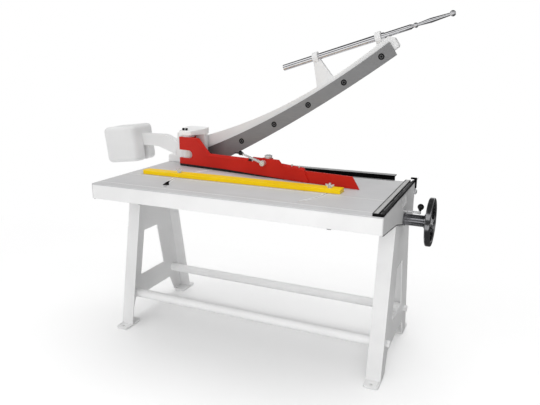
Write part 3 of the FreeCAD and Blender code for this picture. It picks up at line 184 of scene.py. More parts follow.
def baked_paint(name, light, dark, rough, peel, lumps=None, shine=0.5, marks=None):
    """Baked enamel or powder coat. The tone drifts a little over a hand's width, the gloss changes where
    hands and rags have been, and the fine orange peel breaks up what the gloss reflects. Peel is a size and a
    depth, and so are lumps, the cast skin under the coat. Shine is how strong a highlight the coat gives, and
    marks are what is cut or drawn through it."""
    material, tree, where = new_material(name)
    drift = add_node(tree, "ShaderNodeTexNoise", inputs={"Scale": grain(HAND_WIDTH), "Detail": 4.0},
                     links={"Vector": where})
    tone = add_node(tree, "ShaderNodeValToRGB", links={"Fac": (drift, "Fac")},
                    stops=[(0.35, to_linear(dark)), (0.65, to_linear(light))])
    if marks:
        tone = marks(tree, where, tone)
    wiped = add_node(tree, "ShaderNodeTexNoise",
                     inputs={"Scale": grain(RAG_STREAKS), "Detail": 5.0, "Distortion": 0.6},
                     links={"Vector": where})
    gloss = add_node(tree, "ShaderNodeMapRange",
                     inputs={"From Min": 0.3, "From Max": 0.7, "To Min": rough[0], "To Max": rough[1]},
                     links={"Value": (wiped, "Fac")})
    pebbles = add_node(tree, "ShaderNodeTexNoise", inputs={"Scale": grain(peel[0]), "Detail": 2.0},
                       links={"Vector": where})
    bump = add_node(tree, "ShaderNodeBump", inputs={"Strength": 0.6, "Distance": peel[1] * MM},
                    links={"Height": (pebbles, "Fac")})
    if lumps:
        skin = add_node(tree, "ShaderNodeTexNoise", inputs={"Scale": grain(lumps[0]), "Detail": 3.0},
                        links={"Vector": where})
        bump = add_node(tree, "ShaderNodeBump", inputs={"Strength": 0.8, "Distance": lumps[1] * MM},
                        links={"Height": (skin, "Fac"), "Normal": (bump, "Normal")})
    surface = add_node(tree, "ShaderNodeBsdfPrincipled", inputs={"IOR": 1.5, "Specular IOR Level": shine},
                       links={"Base Color": (tone, "Color"), "Roughness": (gloss, "Result"),
                              "Normal": (bump, "Normal")})
    add_node(tree, "ShaderNodeOutputMaterial", links={"Surface": (surface, "BSDF")})
    return material


def worked_metal(name, light, dark, rough, strokes, depth, metallic=1.0, turn=0.0, spots=70, marks=None):
    """Ground, brushed or plated metal. Strokes are sizes along X, Y and Z, turned about Y by turn, and drawn
    a little coarser than real ones so that they show. Depth is theirs, and spots are fingerprints and oil."""
    material, tree, where = new_material(name)
    lay = add_node(tree, "ShaderNodeMapping",
                   inputs={"Rotation": (0, turn, 0), "Scale": tuple(grain(size) for size in strokes)},
                   links={"Vector": where})
    lines = add_node(tree, "ShaderNodeTexNoise", inputs={"Scale": 1.0, "Detail": 3.0},
                     links={"Vector": (lay, "Vector")})
    smears = add_node(tree, "ShaderNodeTexNoise",
                      inputs={"Scale": grain(spots), "Detail": 5.0, "Distortion": 0.8},
                      links={"Vector": where})
    both = add_node(tree, "ShaderNodeMath", {"operation": "MULTIPLY_ADD"}, inputs={1: 0.45},
                    links={0: (smears, "Fac"), 2: (lines, "Fac")})
    tone = add_node(tree, "ShaderNodeValToRGB", links={"Fac": (both, "Value")},
                    stops=[(0.5, to_linear(dark)), (0.95, to_linear(light))])
    if marks:
        tone = marks(tree, where, tone)
    polish = add_node(tree, "ShaderNodeMapRange",
                      inputs={"From Min": 0.45, "From Max": 1.0, "To Min": rough[1], "To Max": rough[0]},
                      links={"Value": (both, "Value")})
    bump = add_node(tree, "ShaderNodeBump", inputs={"Strength": 0.5, "Distance": depth * MM},
                    links={"Height": (lines, "Fac")})
    surface = add_node(tree, "ShaderNodeBsdfPrincipled", inputs={"Metallic": metallic},
                       links={"Base Color": (tone, "Color"), "Roughness": (polish, "Result"),
                              "Normal": (bump, "Normal")})
    add_node(tree, "ShaderNodeOutputMaterial", links={"Surface": (surface, "BSDF")})
    return material


def black_rubber(name, size, depth):
    """Moulded rubber: dull, almost black, with a fine pebble and a grey bloom of dust."""
    material, tree, where = new_material(name)
    bloom = add_node(tree, "ShaderNodeTexNoise", inputs={"Scale": grain(25), "Detail": 5.0},
                     links={"Vector": where})
    tone = add_node(tree, "ShaderNodeValToRGB", links={"Fac": (bloom, "Fac")},
                    stops=[(0.35, to_linear("#0B0B0B")), (0.65, to_linear("#191919"))])
    pebble = add_node(tree, "ShaderNodeTexVoronoi", inputs={"Scale": grain(size)}, links={"Vector": where})
    bump = add_node(tree, "ShaderNodeBump", inputs={"Strength": 0.5, "Distance": depth * MM},
                    links={"Height": (pebble, "Distance")})
    surface = add_node(tree, "ShaderNodeBsdfPrincipled", inputs={"Roughness": 0.62, "IOR": 1.5},
                       links={"Base Color": (tone, "Color"), "Normal": (bump, "Normal")})
    add_node(tree, "ShaderNodeOutputMaterial", links={"Surface": (surface, "BSDF")})
    return material


# Marks on the finishes

TABLE_SEAMS = (50, 240)
SEAM_WIDTH = 5
SLOT_HIGHLIGHT_BAND = 17
# Sine of the angle by which the painted slot highlights reach either side of the line between the studs.
SLOT_SWING = 0.5
# Each pitch along the scale, with the share of the strip's width that its ticks take.
TICKS = ((5, 0.3), (10, 0.5), (50, 0.8))
TICK_WIDTH = 0.5
# Where painted shade darkens the blade's heel, from the blade's low end, and how dark it is there.
HEEL_SHADE_FROM, HEEL_SHADE_TO = 70, 170
HEEL_SHADE_DARKNESS = 0.75


def near_line(tree, value, middle, width):
    """1 where a value lies within half a width of the middle, else 0."""
    offset = add_node(tree, "ShaderNodeMath", {"operation": "SUBTRACT"}, {1: middle * MM}, {0: value})
    distance = add_node(tree, "ShaderNodeMath", {"operation": "ABSOLUTE"}, links={0: (offset, "Value")})
    return add_node(tree, "ShaderNodeMath", {"operation": "LESS_THAN"}, {1: width / 2 * MM},
                    {0: (distance, "Value")})


def painted_seam_and_slot_highlights(tree, where, tone):
    """Painted highlights: two light lines along the table where its scribed seams catch the light, and
    light bands along the slots' arc for the gleam on the slots' edges."""
    spot = add_node(tree, "ShaderNodeSeparateXYZ", links={"Vector": where})
    # Painted highlight: a light line along each scribed seam.
    for from_front in TABLE_SEAMS:
        line = near_line(tree, (spot, "Y"), table_low.y + from_front, SEAM_WIDTH)
        tone = add_node(tree, "ShaderNodeMixRGB", inputs={2: to_linear("#F2F2F2")},
                        links={0: (line, "Value"), 1: (tone, "Color")})
    # Painted highlight: a light band along the slots' arc, for the gleam on their edges.
    from_pivot = add_node(tree, "ShaderNodeVectorMath", {"operation": "SUBTRACT"}, {1: fence_pivot * MM},
                          {0: where})
    flat = add_node(tree, "ShaderNodeVectorMath", {"operation": "MULTIPLY"}, {1: (1, 1, 0)},
                    {0: (from_pivot, "Vector")})
    radius = add_node(tree, "ShaderNodeVectorMath", {"operation": "LENGTH"}, links={0: (flat, "Vector")})
    band = near_line(tree, (radius, "Value"), fence_reach, SLOT_HIGHLIGHT_BAND)
    swing = near_line(tree, (spot, "Y"), fence_pivot.y, 2 * SLOT_SWING * fence_reach)
    slot_highlight = add_node(tree, "ShaderNodeMath", {"operation": "MULTIPLY"},
                      links={0: (band, "Value"), 1: (swing, "Value")})
    return add_node(tree, "ShaderNodeMixRGB", inputs={2: to_linear("#F6F6F6")},
                    links={0: (slot_highlight, "Value"), 1: (tone, "Color")})


def etched_ticks(tree, where, tone):
    """A plain scale without figures: a tick each 5 mm along the strip, longer each 10 and each 50 mm."""
    spot = add_node(tree, "ShaderNodeSeparateXYZ", links={"Vector": where})
    run = add_node(tree, "ShaderNodeMath", {"operation": "SUBTRACT"}, {1: scale_low.y * MM}, {0: (spot, "Y")})
    for pitch, share in TICKS:
        beat = add_node(tree, "ShaderNodeMath", {"operation": "PINGPONG"}, {1: pitch / 2 * MM},
                        {0: (run, "Value")})
        tick = add_node(tree, "ShaderNodeMath", {"operation": "LESS_THAN"}, {1: TICK_WIDTH / 2 * MM},
                        {0: (beat, "Value")})
        tick_end = scale_low.x + share * (scale_high.x - scale_low.x)
        inside = add_node(tree, "ShaderNodeMath", {"operation": "LESS_THAN"}, {1: tick_end * MM},
                          {0: (spot, "X")})
        both = add_node(tree, "ShaderNodeMath", {"operation": "MULTIPLY"},
                        links={0: (tick, "Value"), 1: (inside, "Value")})
        tone = add_node(tree, "ShaderNodeMixRGB", inputs={2: to_linear("#2A2A2A")},
                        links={0: (both, "Value"), 1: (tone, "Color")})
    return tone


def painted_heel_shade(tree, where, tone):
    """Painted shade: the blade's end under the pivot is drawn dark, where the cap and pedestal shade it."""
    spot = add_node(tree, "ShaderNodeSeparateXYZ", links={"Vector": where})
    from_x, to_x = (blade_low.x + HEEL_SHADE_FROM) * MM, (blade_low.x + HEEL_SHADE_TO) * MM
    fade = add_node(tree, "ShaderNodeMapRange",
                    inputs={"From Min": from_x, "From Max": to_x, "To Min": HEEL_SHADE_DARKNESS, "To Max": 0.0},
                    links={"Value": (spot, "X")})
    return add_node(tree, "ShaderNodeMixRGB", inputs={2: to_linear("#3A3A3B")},
                    links={0: (fade, "Result"), 1: (tone, "Color")})


# Powder coat on folded sheet is white and satin, with a fine peel that blurs what it reflects.
white_coat = baked_paint("white_powder_coat", "#F2F2F2", "#ECECEC", rough=(0.34, 0.48), peel=(2.4, 0.05))

# Painted light: the cap and the cross tubes take a whiter copy of the white coat, for the light on them.
white_coat_painted_light = baked_paint("white_enamel_painted_light", "#FFFFFF", "#F9F9F9", rough=(0.34, 0.48), peel=(2.4, 0.05))

# Enamel on cast iron is smoother, and swells slowly over the skin that the sand has left.
cast_coat = baked_paint("white_enamel_on_cast_iron", "#F0F0F0", "#EBEBEB", rough=(0.38, 0.5),
                        peel=(4.0, 0.01), lumps=(18, 0.05))

# The end sheets' powder coat is a pale grey.
panel_coat = baked_paint("pale_grey_powder_coat", "#DADADA", "#D4D4D4", rough=(0.36, 0.5), peel=(2.4, 0.05))

# The table's coat is dull and finely grained, so sheets slide on it, and carries painted highlight lines.
table_coat = baked_paint("satin_grey_table_coat", "#CECECF", "#C9C9CA", rough=(0.46, 0.58), peel=(1.4, 0.02),
                         shine=0.35, marks=painted_seam_and_slot_highlights)

# The slots' lips and walls are near white, a painted highlight so that their edges read as bright lines.
slot_edge_painted_highlight = baked_paint("near_white_slot_edge_highlight", "#F4F4F4", "#E6E6E7", rough=(0.3, 0.45), peel=(1.2, 0.02))

# Signal enamels are strong in colour, with a weak and soft highlight.
red_coat = baked_paint("red_enamel", "#CB261B", "#BE2016", rough=(0.34, 0.46), peel=(2.6, 0.04), shine=0.2)
yellow_coat = baked_paint("yellow_enamel", "#FFD80C", "#FBD00A", rough=(0.34, 0.46), peel=(2.6, 0.04),
                          shine=0.2)

# Black enamel on the rail and the gauge bar is satin, with hardly a highlight.
black_coat = baked_paint("black_satin_enamel", "#0C0C0D", "#070708", rough=(0.36, 0.5), peel=(2.2, 0.04),
                         shine=0.1)

# A flat matt black piece at the left slot's front end is painted shadow, the blackest thing on the table.
painted_shadow_black = baked_paint("slot_end_shadow_black", "#060606", "#030303", rough=(0.6, 0.7), peel=(1.5, 0.05),
                           shine=0.02)

# Phenolic balls are deep black, with a small hard highlight.
ball_plastic = baked_paint("black_phenolic_ball", "#0E0E0E", "#090909", rough=(0.12, 0.2), peel=(5.0, 0.01),
                           shine=0.4)

# The wheel's rim is polished: it is as dark or as bright as the part of the room that it mirrors.
rim_coat = worked_metal("black_polished_rim", "#98989A", "#858587", rough=(0.12, 0.2), strokes=(6, 6, 6),
                        depth=0.01, spots=30)

# Turned and blued steel mirrors the room in bands along the tube, roughened by fine rings.
blued_steel = worked_metal("blued_turned_steel", "#9A9A9E", "#848488", rough=(0.14, 0.22),
                           strokes=(2, 40, 40), depth=0.02)

# Ground tool steel is an even grey, with faint strokes across the blade, and painted shade at its heel.
blade_steel = worked_metal("ground_tool_steel", "#9A9A9B", "#929293", rough=(0.5, 0.58), strokes=(60, 2, 2),
                           depth=0.02, metallic=0.55, turn=0.98, marks=painted_heel_shade)

# Milled steel shows the cutter's long strokes.
milled_steel = worked_metal("milled_bare_steel", "#C2C2C3", "#ACACAE", rough=(0.24, 0.36),
                            strokes=(50, 2.5, 2.5), depth=0.03)

# Blackened fasteners are dark, with a broken oily gleam.
dark_steel = worked_metal("blackened_steel", "#1C1C1E", "#111112", rough=(0.3, 0.42), strokes=(3, 3, 3),
                          depth=0.02, metallic=0.6, spots=8)

# The post is ground round, pale and softly bright.
post_steel = worked_metal("ground_post_steel", "#EDEDED", "#E2E2E3", rough=(0.3, 0.4), strokes=(60, 60, 2),
                          depth=0.02, metallic=0.35)

# A sintered bush is a warm dull grey with pores.
bush_steel = worked_metal("sintered_bush", "#B4B2AE", "#A09E9A", rough=(0.4, 0.5), strokes=(3, 3, 3),
                          depth=0.03)

# Hard chrome is a clear mirror.
chrome = worked_metal("hard_chrome_plate", "#E6E6E8", "#DADADD", rough=(0.05, 0.09), strokes=(40, 40, 40),
                      depth=0.001, spots=60)

# Zinc plate is bright and a little cloudy.
zinc = worked_metal("bright_zinc_plate", "#EAEAEB", "#DADBDC", rough=(0.22, 0.34), strokes=(4, 4, 4),
                    depth=0.03, metallic=0.6, spots=9)

# The scale strip is satin aluminium, brushed along its length.
aluminium = worked_metal("satin_aluminium_strip", "#E0E0DF", "#D4D4D3", rough=(0.34, 0.44),
                         strokes=(3, 40, 3), depth=0.02, metallic=0.5, marks=etched_ticks)

# Grey rings on the blade bolts' faces are a painted highlight round their sockets.
# Sliding pieces have rubbed black steel grey in the rail's groove.
bolt_ring_painted_highlight = worked_metal("bolt_face_painted_highlight_ring", "#7A7A7B", "#646465", rough=(0.4, 0.5), strokes=(3, 3, 3),
                          depth=0.02, metallic=0.5)
groove_steel = worked_metal("rubbed_groove_floor", "#9A9A9B", "#8A8A8B", rough=(0.4, 0.5), strokes=(3, 40, 3),
                            depth=0.02, metallic=0.5)

# Weld beads are lumpy under the same white coat as the legs.
weld_metal = worked_metal("painted_weld_bead", "#EFEFEF", "#DEDEDE", rough=(0.35, 0.5), strokes=(2, 2, 2),
                          depth=0.1, metallic=0.0)

# This rubber also colours the strips under the end sheets, which are painted shade.
rubber = black_rubber("moulded_black_rubber", size=1.6, depth=0.15)

slot_finish = {
    "white_paint": white_coat, "panel_grey": panel_coat, "table_steel": table_coat, "cast_white": cast_coat,
    "red_paint": red_coat, "yellow_paint": yellow_coat, "black_paint": black_coat, "wheel_black": rim_coat,
    "blade_steel": blade_steel, "bare_steel": milled_steel, "black_steel": dark_steel, "chrome": chrome,
    "zinc": zinc, "bronze": bush_steel, "scale_metal": aluminium, "knob_black": ball_plastic,
    "pad_rubber": rubber,
}
# The cross tubes' whiter coat is painted light.
node_finish = {"guide_post": post_steel, "wheel_bearing": blued_steel, "tie_bolts": white_coat,
               "tie_tubes": white_coat_painted_light}
for node_name, slot_name in slot_of.items():
    for material_slot in nodes[node_name].material_slots:
        material_slot.material = node_finish.get(node_name, slot_finish[slot_name])


# Pieces

# Degrees between two faces from which their line is an edge, and not part of a round.
SHARP_FROM = 28
FOLD_STEPS = 5
# How near to a plane or a level a point counts as on it.
NEAR = 0.5


def new_object(name, data):
    """An object in the scene, at the origin."""
    made = bpy.data.objects.new(name, data)
    bpy.context.scene.collection.objects.link(made)
    return made


def add_piece(bm, name, body, slot_name, materials=None, sharp=30):
    """Makes a finished mesh of a bmesh, gives it its finish, and lets it move with a body."""
    mesh = bpy.data.meshes.new(name)
    bm.to_mesh(mesh)
    bm.free()
    for material in materials or [slot_finish[slot_name]]:
        mesh.materials.append(material)
    mesh.polygons.foreach_set("use_smooth", [True] * len(mesh.polygons))
    mesh.set_sharp_from_angle(angle=math.radians(sharp))
    piece = new_object(name, mesh)
    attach(piece, body)
    return piece


def bend(edge):
    """Angle between the two faces at an edge, in degrees."""
    return math.degrees(edge.calc_face_angle(0.0)) if len(edge.link_faces) == 2 else 0.0


def ends(edge):
    """Where an edge starts and ends."""
    return edge.verts[0].co / MM, edge.verts[1].co / MM


def softened(node, edge=0.8, folds=(), keep_sharp=None, segments=2, materials=None, paint=None):
    """Stands for a solid: folds get their bend radius, and every other sharp edge is broken so that it takes
    light. Folds are pairs of a test and a radius, and a test gets the two ends of a line. Paint picks one of
    the materials by a face's normal and middle."""
    bm = merged_copy(node)
    for is_fold, radius in folds:
        chosen = [e for e in bm.edges if bend(e) > SHARP_FROM and is_fold(*ends(e))]
        bmesh.ops.bevel(bm, geom=chosen, offset=radius * MM, offset_type="OFFSET", affect="EDGES",
                        segments=FOLD_STEPS, profile=0.5, material=-1, clamp_overlap=True)
    weights = bm.edges.layers.float.new("bevel_weight_edge")
    for e in bm.edges:
        if bend(e) > SHARP_FROM and not (keep_sharp and keep_sharp(*ends(e))):
            e[weights] = 1.0
    if paint:
        for face in bm.faces:
            face.material_index = paint(face.normal, face.calc_center_median() / MM)
    piece = add_piece(bm, node + "_finished", body_of(node), slot_of[node], materials, sharp=SHARP_FROM)
    broken = piece.modifiers.new("broken_edges", "BEVEL")
    broken.limit_method = "WEIGHT"
    broken.width = edge * MM
    broken.segments = segments
    broken.use_clamp_overlap = False
    broken.harden_normals = True
    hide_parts(node)


# Stand: folded sheet whose cross plates run into the legs without a seam

OUTER_BEND = 7.0
INNER_BEND = 2.5
LEAST_FOLD = 300
LEAST_LEVEL = 20
MOSTLY = 0.85
OUTER_FOLD_FROM = 150
TABLE_SEAM = 1
# About half the depth over the legs at the floor, what each millimetre of height takes off it, and the
# share of the rest within which the opening between the legs lies.
LEG_SPREAD = 262
LEG_LEAN = 0.1885
WINDOW_SHARE = 0.72
leg_out, leg_top = in_mm(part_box("right_front_leg"))[1].xz
upper_tie_low, upper_tie_high = in_mm(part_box("right_upper_tie"))
lower_tie_top = in_mm(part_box("right_lower_tie"))[1].z
leg_sheet = upper_tie_high.x - upper_tie_low.x


def upright(a, b):
    """True for a long line that runs mostly up."""
    way = b - a
    return way.length > LEAST_FOLD and abs(way.z) > MOSTLY * way.length


def beside_window(a, b):
    """True for a line on the slanted sides of the opening between the legs."""
    middle = (a + b) / 2
    return abs(middle.y) < WINDOW_SHARE * (LEG_SPREAD - LEG_LEAN * middle.z)


def outer_fold(a, b):
    """True for the outside of the fold between a leg's web and its flange."""
    outside = abs(abs(a.x) - leg_out) < NEAR and min(abs(a.y), abs(b.y)) > OUTER_FOLD_FROM
    return upright(a, b) and outside and not beside_window(a, b)


def inner_fold(a, b):
    """True for the inside of that fold."""
    inside = abs(abs(a.x) - leg_out + leg_sheet) < NEAR
    return upright(a, b) and inside and not beside_window(a, b)


def at_table(a, b):
    """True for a line against the table's underside."""
    return (a.z + b.z) / 2 > leg_top - TABLE_SEAM


def leg_seam(a, b):
    """True where a leg meets a cross plate or the table."""
    height = (a.z + b.z) / 2
    at_plate = height < lower_tie_top + NEAR or height > upper_tie_low.z - NEAR
    return beside_window(a, b) and at_plate or at_table(a, b)


def tie_seam(a, b):
    """True for a cross plate's sides and its edge at the table, and not for its level free edges."""
    level = abs(a.z - b.z) < NEAR and abs(a.y - b.y) > LEAST_LEVEL
    return not level or at_table(a, b)


leg_folds = [(outer_fold, OUTER_BEND), (inner_fold, INNER_BEND)]
for side in ("left", "right"):
    for leg in ("front_leg", "rear_leg"):
        softened(f"{side}_{leg}", folds=leg_folds, keep_sharp=leg_seam)
    for tie in ("upper_tie", "lower_tie"):
        softened(f"{side}_{tie}", keep_sharp=tie_seam)
softened("front_apron", edge=1.2)
softened("left_side_plate", keep_sharp=at_table)
softened("right_side_plate", keep_sharp=at_table)


# Table, lever, beam and bars

LIP_RADIUS = 3.0
SLOTS_WITHIN = 560
SLOTS_FROM, SLOTS_TO = -360, 160


def among_slots(spot):
    """True on the stretch of the table that holds the curved slots."""
    return abs(spot.x) < SLOTS_WITHIN and SLOTS_FROM < spot.y < SLOTS_TO


def slot_lip(a, b):
    """True for the upper edge of a slot."""
    return among_slots(a) and among_slots(b) and min(a.z, b.z) > table_high.z - NEAR


def slot_wall(normal, centre):
    """1, the near-white painted highlight, on the slots' rounded lips and walls."""
    return 1 if among_slots(centre) and normal.z < 0.95 else 0


def groove_floor(normal, centre):
    """1, rubbed steel, in the groove along the side rail."""
    return 1 if normal.z > 0.9 and centre.z < rail_high.z - NEAR else 0


def gauge_face(normal, centre):
    """1, milled steel, on top of the gauge bar."""
    return 1 if normal.z > 0.8 and centre.z > gauge_top - NEAR else 0


# The slots' lips and walls take the near-white painted highlight.
softened("table_top", folds=[(slot_lip, LIP_RADIUS)], materials=[table_coat, slot_edge_painted_highlight], paint=slot_wall)
softened("foot_plates", edge=1.6)
softened("pivot_pedestal", edge=2.5, segments=3)
# The cap's whiter coat is painted light.
softened("pivot_cap", edge=2.5, segments=3, materials=[white_coat_painted_light])
softened("lever_arm", edge=1.2, segments=3)
softened("hold_down_beam", edge=1.0)
softened("hold_down_tip", edge=1.0)
softened("fence_bar", edge=1.5)
softened("side_rail", edge=0.6, materials=[black_coat, groove_steel], paint=groove_floor)
softened("upper_blade", edge=0.4)
softened("gauge_bar", materials=[black_coat, milled_steel], paint=gauge_face)
softened("rail_clamp_lever", edge=1.0)


# Details that the solids leave out

TURNED_SEAM = 0.001


def turned(bm, profile, centre, axis, segments=40):
    """Turns a profile, points of a radius and a height, about an axis and adds it to the bmesh."""
    way = Vector(axis).normalized()
    out = way.orthogonal().normalized()
    centre = Vector(centre)
    points = [bm.verts.new((centre + out * radius + way * height) * MM) for radius, height in profile]
    edges = [bm.edges.new(pair) for pair in zip(points, points[1:])]
    bmesh.ops.spin(bm, geom=points + edges, cent=centre * MM, axis=way, dvec=(0, 0, 0),
                   angle=math.tau, steps=segments, use_merge=True, use_duplicate=False)
    bmesh.ops.remove_doubles(bm, verts=bm.verts, dist=TURNED_SEAM * MM)
    bmesh.ops.recalc_face_normals(bm, faces=bm.faces)


def shifted(bm, extruded, way):
    """Moves what an extrusion has just made, and returns its vertices."""
    verts = [item for item in extruded["geom"] if isinstance(item, bmesh.types.BMVert)]
    bmesh.ops.translate(bm, verts=verts, vec=Vector(way) * MM)
    return verts


SHADE_STRIP_BELOW = 680
SHADE_STRIP_START = 10
SHADE_STRIP_WALL = 3.5
SHADE_STRIP_LEAST_FACE = 200


def painted_shade_strip(node):
    """Black strip over the lower edge of an end sheet, painted shade for the dark line under it."""
    bm = merged_copy(node)
    others = [f for f in bm.faces if f.normal.z > -0.3 or f.calc_area() < SHADE_STRIP_LEAST_FACE * MM ** 2
              or f.calc_center_median().z > SHADE_STRIP_BELOW * MM]
    bmesh.ops.delete(bm, geom=others, context="FACES")
    bmesh.ops.bisect_plane(bm, geom=bm.verts[:] + bm.edges[:] + bm.faces[:], clear_inner=True,
                           plane_co=(0, (table_low.y + SHADE_STRIP_START) * MM, 0), plane_no=(0, 1, 0))
    shade_strip = add_piece(bm, node + "_painted_shade_strip", body_of(node), "pad_rubber")
    wrap = shade_strip.modifiers.new("wall", "SOLIDIFY")
    wrap.thickness, wrap.offset, wrap.use_even_offset = SHADE_STRIP_WALL * MM, 1, True


# The beam's front left corner on the table, and its turn from the blades at rest.
BEAM_CORNER = Vector((-525, 121, 738))
BEAM_TURN = math.radians(-9)
NOTCH_ALONG = 434
NOTCH_FLOOR = 66
BUFFER_RADIUS = 7
BUFFER_LENGTH = 24
BUFFER_CHAMFER = 1.5
BUFFER_INSET = 3
BUFFER_SUNK = 0.5


def notch_buffer_and_shade():
    """Black rubber buffer across the beam in its notch, which also puts painted shade in the notch."""
    beam_along = Vector((math.cos(BEAM_TURN), math.sin(BEAM_TURN), 0))
    beam_back = Vector((-math.sin(BEAM_TURN), math.cos(BEAM_TURN), 0))
    rise = Vector((0, 0, NOTCH_FLOOR + BUFFER_RADIUS - BUFFER_SUNK))
    front_end = BEAM_CORNER + beam_along * NOTCH_ALONG + beam_back * BUFFER_INSET + rise
    face = BUFFER_RADIUS - BUFFER_CHAMFER
    shoulder = BUFFER_LENGTH - BUFFER_CHAMFER
    profile = [(0, 0), (face, 0), (BUFFER_RADIUS, BUFFER_CHAMFER), (BUFFER_RADIUS, shoulder),
               (face, BUFFER_LENGTH), (0, BUFFER_LENGTH)]
    bm = bmesh.new()
    turned(bm, profile, front_end, beam_back, 28)
    add_piece(bm, "notch_buffer_and_shade", body_of("hold_down_beam"), "pad_rubber")


SHADOW_PATCH_FROM, SHADOW_PATCH_TO = math.radians(30), math.radians(18)
SHADOW_PATCH_WIDE, SHADOW_PATCH_SLIM = 13, 2
SHADOW_PATCH_LIFT = 0.2
SHADOW_PATCH_THICK = 2.2
SHADOW_PATCH_STEPS = 10


def slot_end_painted_shadow():
    """Flat matt black piece at the front end of the left slot, painted shadow for the dark opening there.
    It follows the slot's curve and tapers to the back.
    """
    pivot = Vector((fence_pivot.x, fence_pivot.y, table_high.z + SHADOW_PATCH_LIFT))
    bm = bmesh.new()
    rows = []
    for step in range(SHADOW_PATCH_STEPS + 1):
        share = step / SHADOW_PATCH_STEPS
        turn = math.pi + SHADOW_PATCH_FROM + (SHADOW_PATCH_TO - SHADOW_PATCH_FROM) * share
        half = SHADOW_PATCH_WIDE + (SHADOW_PATCH_SLIM - SHADOW_PATCH_WIDE) * share
        way = Vector((math.cos(turn), math.sin(turn), 0))
        inner, outer = pivot + way * (fence_reach - half), pivot + way * (fence_reach + half)
        rows.append((bm.verts.new(inner * MM), bm.verts.new(outer * MM)))
    for near_row, far_row in zip(rows, rows[1:]):
        bm.faces.new((*near_row, *reversed(far_row)))
    shifted(bm, bmesh.ops.extrude_face_region(bm, geom=bm.faces[:]), (0, 0, SHADOW_PATCH_THICK))
    bmesh.ops.recalc_face_normals(bm, faces=bm.faces)
    add_piece(bm, "slot_end_painted_shadow", body_of("table_top"), "black_paint", [painted_shadow_black])


BOLT_RING = ((5.2, 0.2), (5.2, -0.5), (5.6, -0.8), (7.2, -0.8), (7.7, -0.5), (7.7, 0.2))


def blade_bolt_rings():
    """Grey rings round the sockets of the blade's bolts, a painted highlight on their black heads."""
    bm = bmesh.new()
    for middle, low, high in solids_of("blade_bolts"):
        turned(bm, BOLT_RING, (middle.x, low.y, middle.z), (0, 1, 0))
    add_piece(bm, "blade_bolt_rings", body_of("blade_bolts"), "black_steel", [bolt_ring_painted_highlight])


GRIP_RADIUS = 17.6
GRIP_FLUTES = 20
FLUTE_POINTS = 4
FLUTE_PULL = 0.945
GRIP_BELOW_TOP = 13
GRIP_HEIGHT = 10
GRIP_WALL = 1.6


def knob_grip_flutes():
    """Fluted band round the clamp screw's knob."""
    middle, low, high = solids_of("clamp_screw")[0]
    axis = middle.xy * MM
    foot = Vector((middle.x, middle.y, high.z - GRIP_BELOW_TOP)) * MM
    bm = bmesh.new()
    ring = bmesh.ops.create_circle(bm, radius=GRIP_RADIUS * MM, segments=GRIP_FLUTES * FLUTE_POINTS,
                                   matrix=Matrix.Translation(foot))
    for index, vert in enumerate(ring["verts"]):
        if index % FLUTE_POINTS < 2:
            vert.co.xy = axis + (vert.co.xy - axis) * FLUTE_PULL
    shifted(bm, bmesh.ops.extrude_edge_only(bm, edges=bm.edges), (0, 0, GRIP_HEIGHT))
    bmesh.ops.recalc_face_normals(bm, faces=bm.faces)
    piece = add_piece(bm, "knob_grip_flutes", body_of("clamp_screw"), "zinc", sharp=50)
    wall = piece.modifiers.new("wall", "SOLIDIFY")
    wall.thickness, wall.offset = GRIP_WALL * MM, -1


HUB_FACE = 26
WASHER_TOP = 2.2
WASHER = ((10.2, -0.2), (17, -0.2), (17, 1.6), (16, WASHER_TOP), (10.2, WASHER_TOP))
NUT_CORNER = 13
NUT_HEIGHT = 5.5
DOME = ((12.2, -0.1), (10, 0.9), (7, 1.3), (0, 1.5))


def wheel_cap_nut():
    """Washer and domed nut on the shaft's end, outside the handwheel's hub."""
    middle, low, high = solids_of("handwheel")[0]
    hub = Vector((low.x + HUB_FACE, 0, middle.z))
    outwards = Vector((1, 0, 0))
    bm = bmesh.new()
    turned(bm, WASHER, hub, outwards)
    lying = outwards.to_track_quat("Z", "Y").to_matrix().to_4x4()
    seat = Matrix.Translation((hub + outwards * WASHER_TOP) * MM) @ lying
    hexagon = bmesh.ops.create_circle(bm, cap_ends=False, radius=NUT_CORNER * MM, segments=6, matrix=seat)
    flats = bmesh.ops.extrude_edge_only(bm, edges=list({e for v in hexagon["verts"] for e in v.link_edges}))
    bmesh.ops.contextual_create(bm, geom=shifted(bm, flats, outwards * NUT_HEIGHT))
    turned(bm, DOME, hub + outwards * (WASHER_TOP + NUT_HEIGHT), outwards)
    add_piece(bm, "wheel_cap_nut", body_of("handwheel"), "zinc")


RAIL_SCREW_SHARES = (0.08, 0.36, 0.64, 0.92)
RAIL_SCREW_INSET = 13
RAIL_SCREW_SUNK = 0.4
RAIL_SCREW = ((0, -2.2), (2.4, -2.2), (2.4, 0.5), (4.2, 0.5), (4.8, 0.1), (4.8, -1.5))


def rail_screws():
    """Small socket screws along the side rail."""
    bm = bmesh.new()
    for share in RAIL_SCREW_SHARES:
        spot = (rail_high.x - RAIL_SCREW_INSET, rail_low.y + share * (rail_high.y - rail_low.y),
                rail_high.z - RAIL_SCREW_SUNK)
        turned(bm, RAIL_SCREW, spot, (0, 0, 1), 24)
    add_piece(bm, "rail_screws", body_of("side_rail"), "black_paint", [dark_steel])


WELD_RADIUS = 2.7
WELD_PITCH = 3.4
WELD_WANDER = 0.3
WELD_BEAT = 2.3
WELD_RISE = 1.2
WELD_FROM_LEG = 6.5
WELD_MARGIN = 17
BEAD_SHAPE = Matrix.Diagonal((1, 1.1, 0.9, 1))


